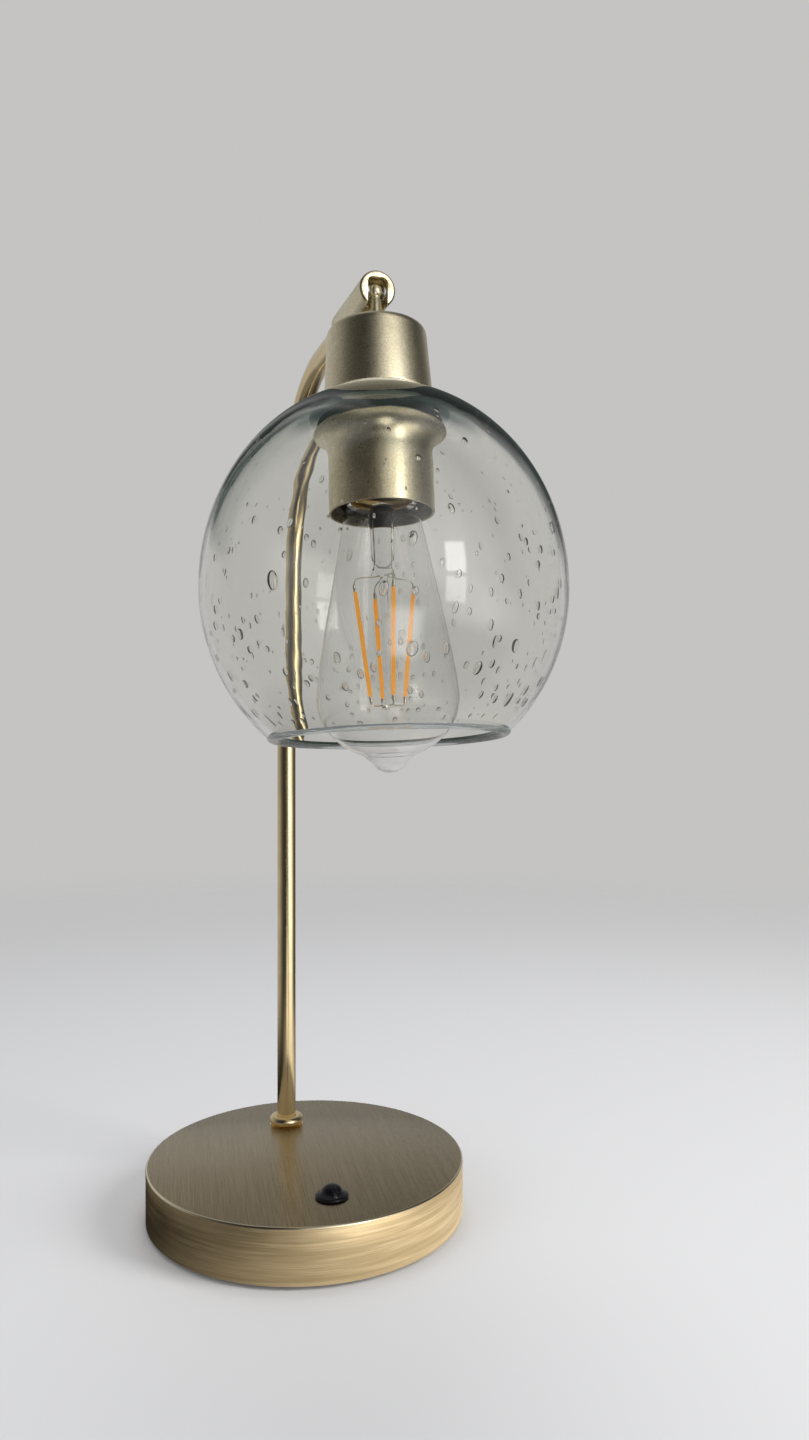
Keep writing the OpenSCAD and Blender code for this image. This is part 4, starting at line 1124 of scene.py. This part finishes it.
def area_light(name, place, aim, size, power, tint):
    """A soft light for matte surfaces; gloss sees only the painted room."""
    data = bpy.data.lights.new(name, "AREA")
    data.shape = "RECTANGLE"
    data.size, data.size_y = size
    data.energy = power
    data.color = tint
    light = new_object(name, data)
    light.location = place
    light.rotation_euler = (Vector(aim) - Vector(place)).to_track_quat("-Z", "Y").to_euler()
    light.visible_camera = False
    light.visible_glossy = False
    light.visible_transmission = False


def direction(room):
    """Azimuth from the front towards +X, and elevation, of what a ray sees, in degrees."""
    op = room.math
    x, y, z = room.add("SeparateXYZ", {"Vector": room.add("TexCoord").outputs["Generated"]}).outputs
    azimuth = op("MULTIPLY", op("ARCTAN2", x, op("MULTIPLY", y, -1.0)), 180/math.pi)
    return azimuth, op("MULTIPLY", op("ARCSINE", z), 180/math.pi)


def room_shader(room):
    """A dim room with soft windows, from the direction looked in."""
    op = room.math
    azimuth, elevation = direction(room)

    def within(value, half, soft):
        return room.smooth(value, half + soft, max(half - soft, 0))

    round_way = azimuth
    for shift in SHIFTS:
        round_way = op("ADD", round_way, room.smooth(elevation, *shift))
    round_way = op("WRAP", round_way, 180.0, -180.0)
    ramp = room.add("ValToRGB", {"Fac": op("MULTIPLY_ADD", round_way, 1/360, 0.5)})
    ramp.color_ramp.interpolation = "EASE"
    stops = ramp.color_ramp.elements
    while len(stops) < len(WALLS):
        stops.new(0.5)
    for stop, (azim, level) in zip(stops, WALLS):
        stop.position = azim/360 + 0.5
        stop.color = colour(level, level, level)
    # The walls fade to a dimmer ceiling and a dark floor
    total = ramp.outputs["Color"]
    less = room.smooth(op("ABSOLUTE", azimuth), *FADE_LESS)
    for fade in FADES:
        taken = room.smooth(elevation, *fade)
        total = op("MULTIPLY", total, op("SUBTRACT", 1.0, op("MULTIPLY_ADD", taken, less, taken)))
    for azim, half, low, high, soft, level in WINDOWS:
        across = op("ABSOLUTE", op("WRAP", op("SUBTRACT", azimuth, azim), 180.0, -180.0))
        updown = op("ABSOLUTE", op("SUBTRACT", elevation, (low + high)/2))
        glow = op("MULTIPLY", within(across, half, soft), within(updown, (high - low)/2, soft))
        total = op("ADD", total, op("MULTIPLY", glow, level))
    return room.shining("Background", (1.0, 0.99, 0.975), total)


def make_world():
    """Pale behind the lamp, plain light on matte faces, and the room in gloss."""
    world = bpy.data.worlds.new("studio")
    world.use_nodes = True
    bpy.context.scene.world = world
    room = Nodes(world.node_tree)
    op = room.math
    pale = room.shining("Background", (0.555, 0.55, 0.545))
    plain = room.shining("Background", (0.97, 0.98, 1.0), 0.42)
    dusk = room.shining("Background", (0.06, 0.08, 0.074))
    path = room.add("LightPath").outputs
    azimuth, elevation = direction(room)
    round_way = op("ABSOLUTE", azimuth)
    own = op("MULTIPLY", path["Is Singular Ray"], op("LESS_THAN", path["Transmission Depth"], OWN_FACES))

    # Clear glass mirrors the pale backdrop at its sides, where metal sees the room's dark walls
    beside = op("MULTIPLY", own, room.smooth(round_way, *BESIDE))
    room_share = op("MULTIPLY", room.reflected_once(), op("SUBTRACT", 1.0, beside))
    gloss = room.mixed(room_share, pale, room_shader(room))
    seen = room.mixed(path["Diffuse Depth"], gloss, plain)

    # It mirrors a dark upper room behind the lamp, which draws its thick shoulder
    height = op("MULTIPLY_ADD", op("SUBTRACT", round_way, DUSK_LEVEL_AT), DUSK_SLOPE, elevation)
    aside = op("ABSOLUTE", op("SUBTRACT", round_way, DUSK_MIDDLE))
    far = op("MULTIPLY", room.smooth(aside, *DUSK_WIDTH), room.smooth(height, *DUSK_RISE))
    twice = op("GREATER_THAN", path["Glossy Depth"], 1.5)
    deep = op("MULTIPLY", twice, room.smooth(elevation, *SECOND_DUSK))
    glass = op("MULTIPLY", own, op("GREATER_THAN", path["Glossy Depth"], 0.5))
    share = op("MULTIPLY", op("MAXIMUM", far, deep), glass)
    room.finish("World Output", room.mixed(share, seen, dusk))


def make_camera():
    """The photograph's own view: level, from the front left."""
    data = bpy.data.cameras.new("camera")
    data.sensor_width = 36
    data.lens = 27.05
    camera = new_object("camera", data)
    camera.location = (-0.1280, -0.5412, 0.2499)
    camera.rotation_euler = (math.radians(90), 0, math.radians(-18.5))
    bpy.context.scene.camera = camera


make_camera()
dress_cad_nodes()
make_base()
make_collar()
make_tube()
make_knob()
make_bushing()
make_cap()
make_cup()
make_gaskets()
make_holder()
make_shells()
make_shade()
make_bulb_glass()
make_mount()
make_filaments()
make_world()
make_floor()
for light in LIGHTS:
    area_light(*light)
bpy.context.scene.view_settings.view_transform = "Standard"
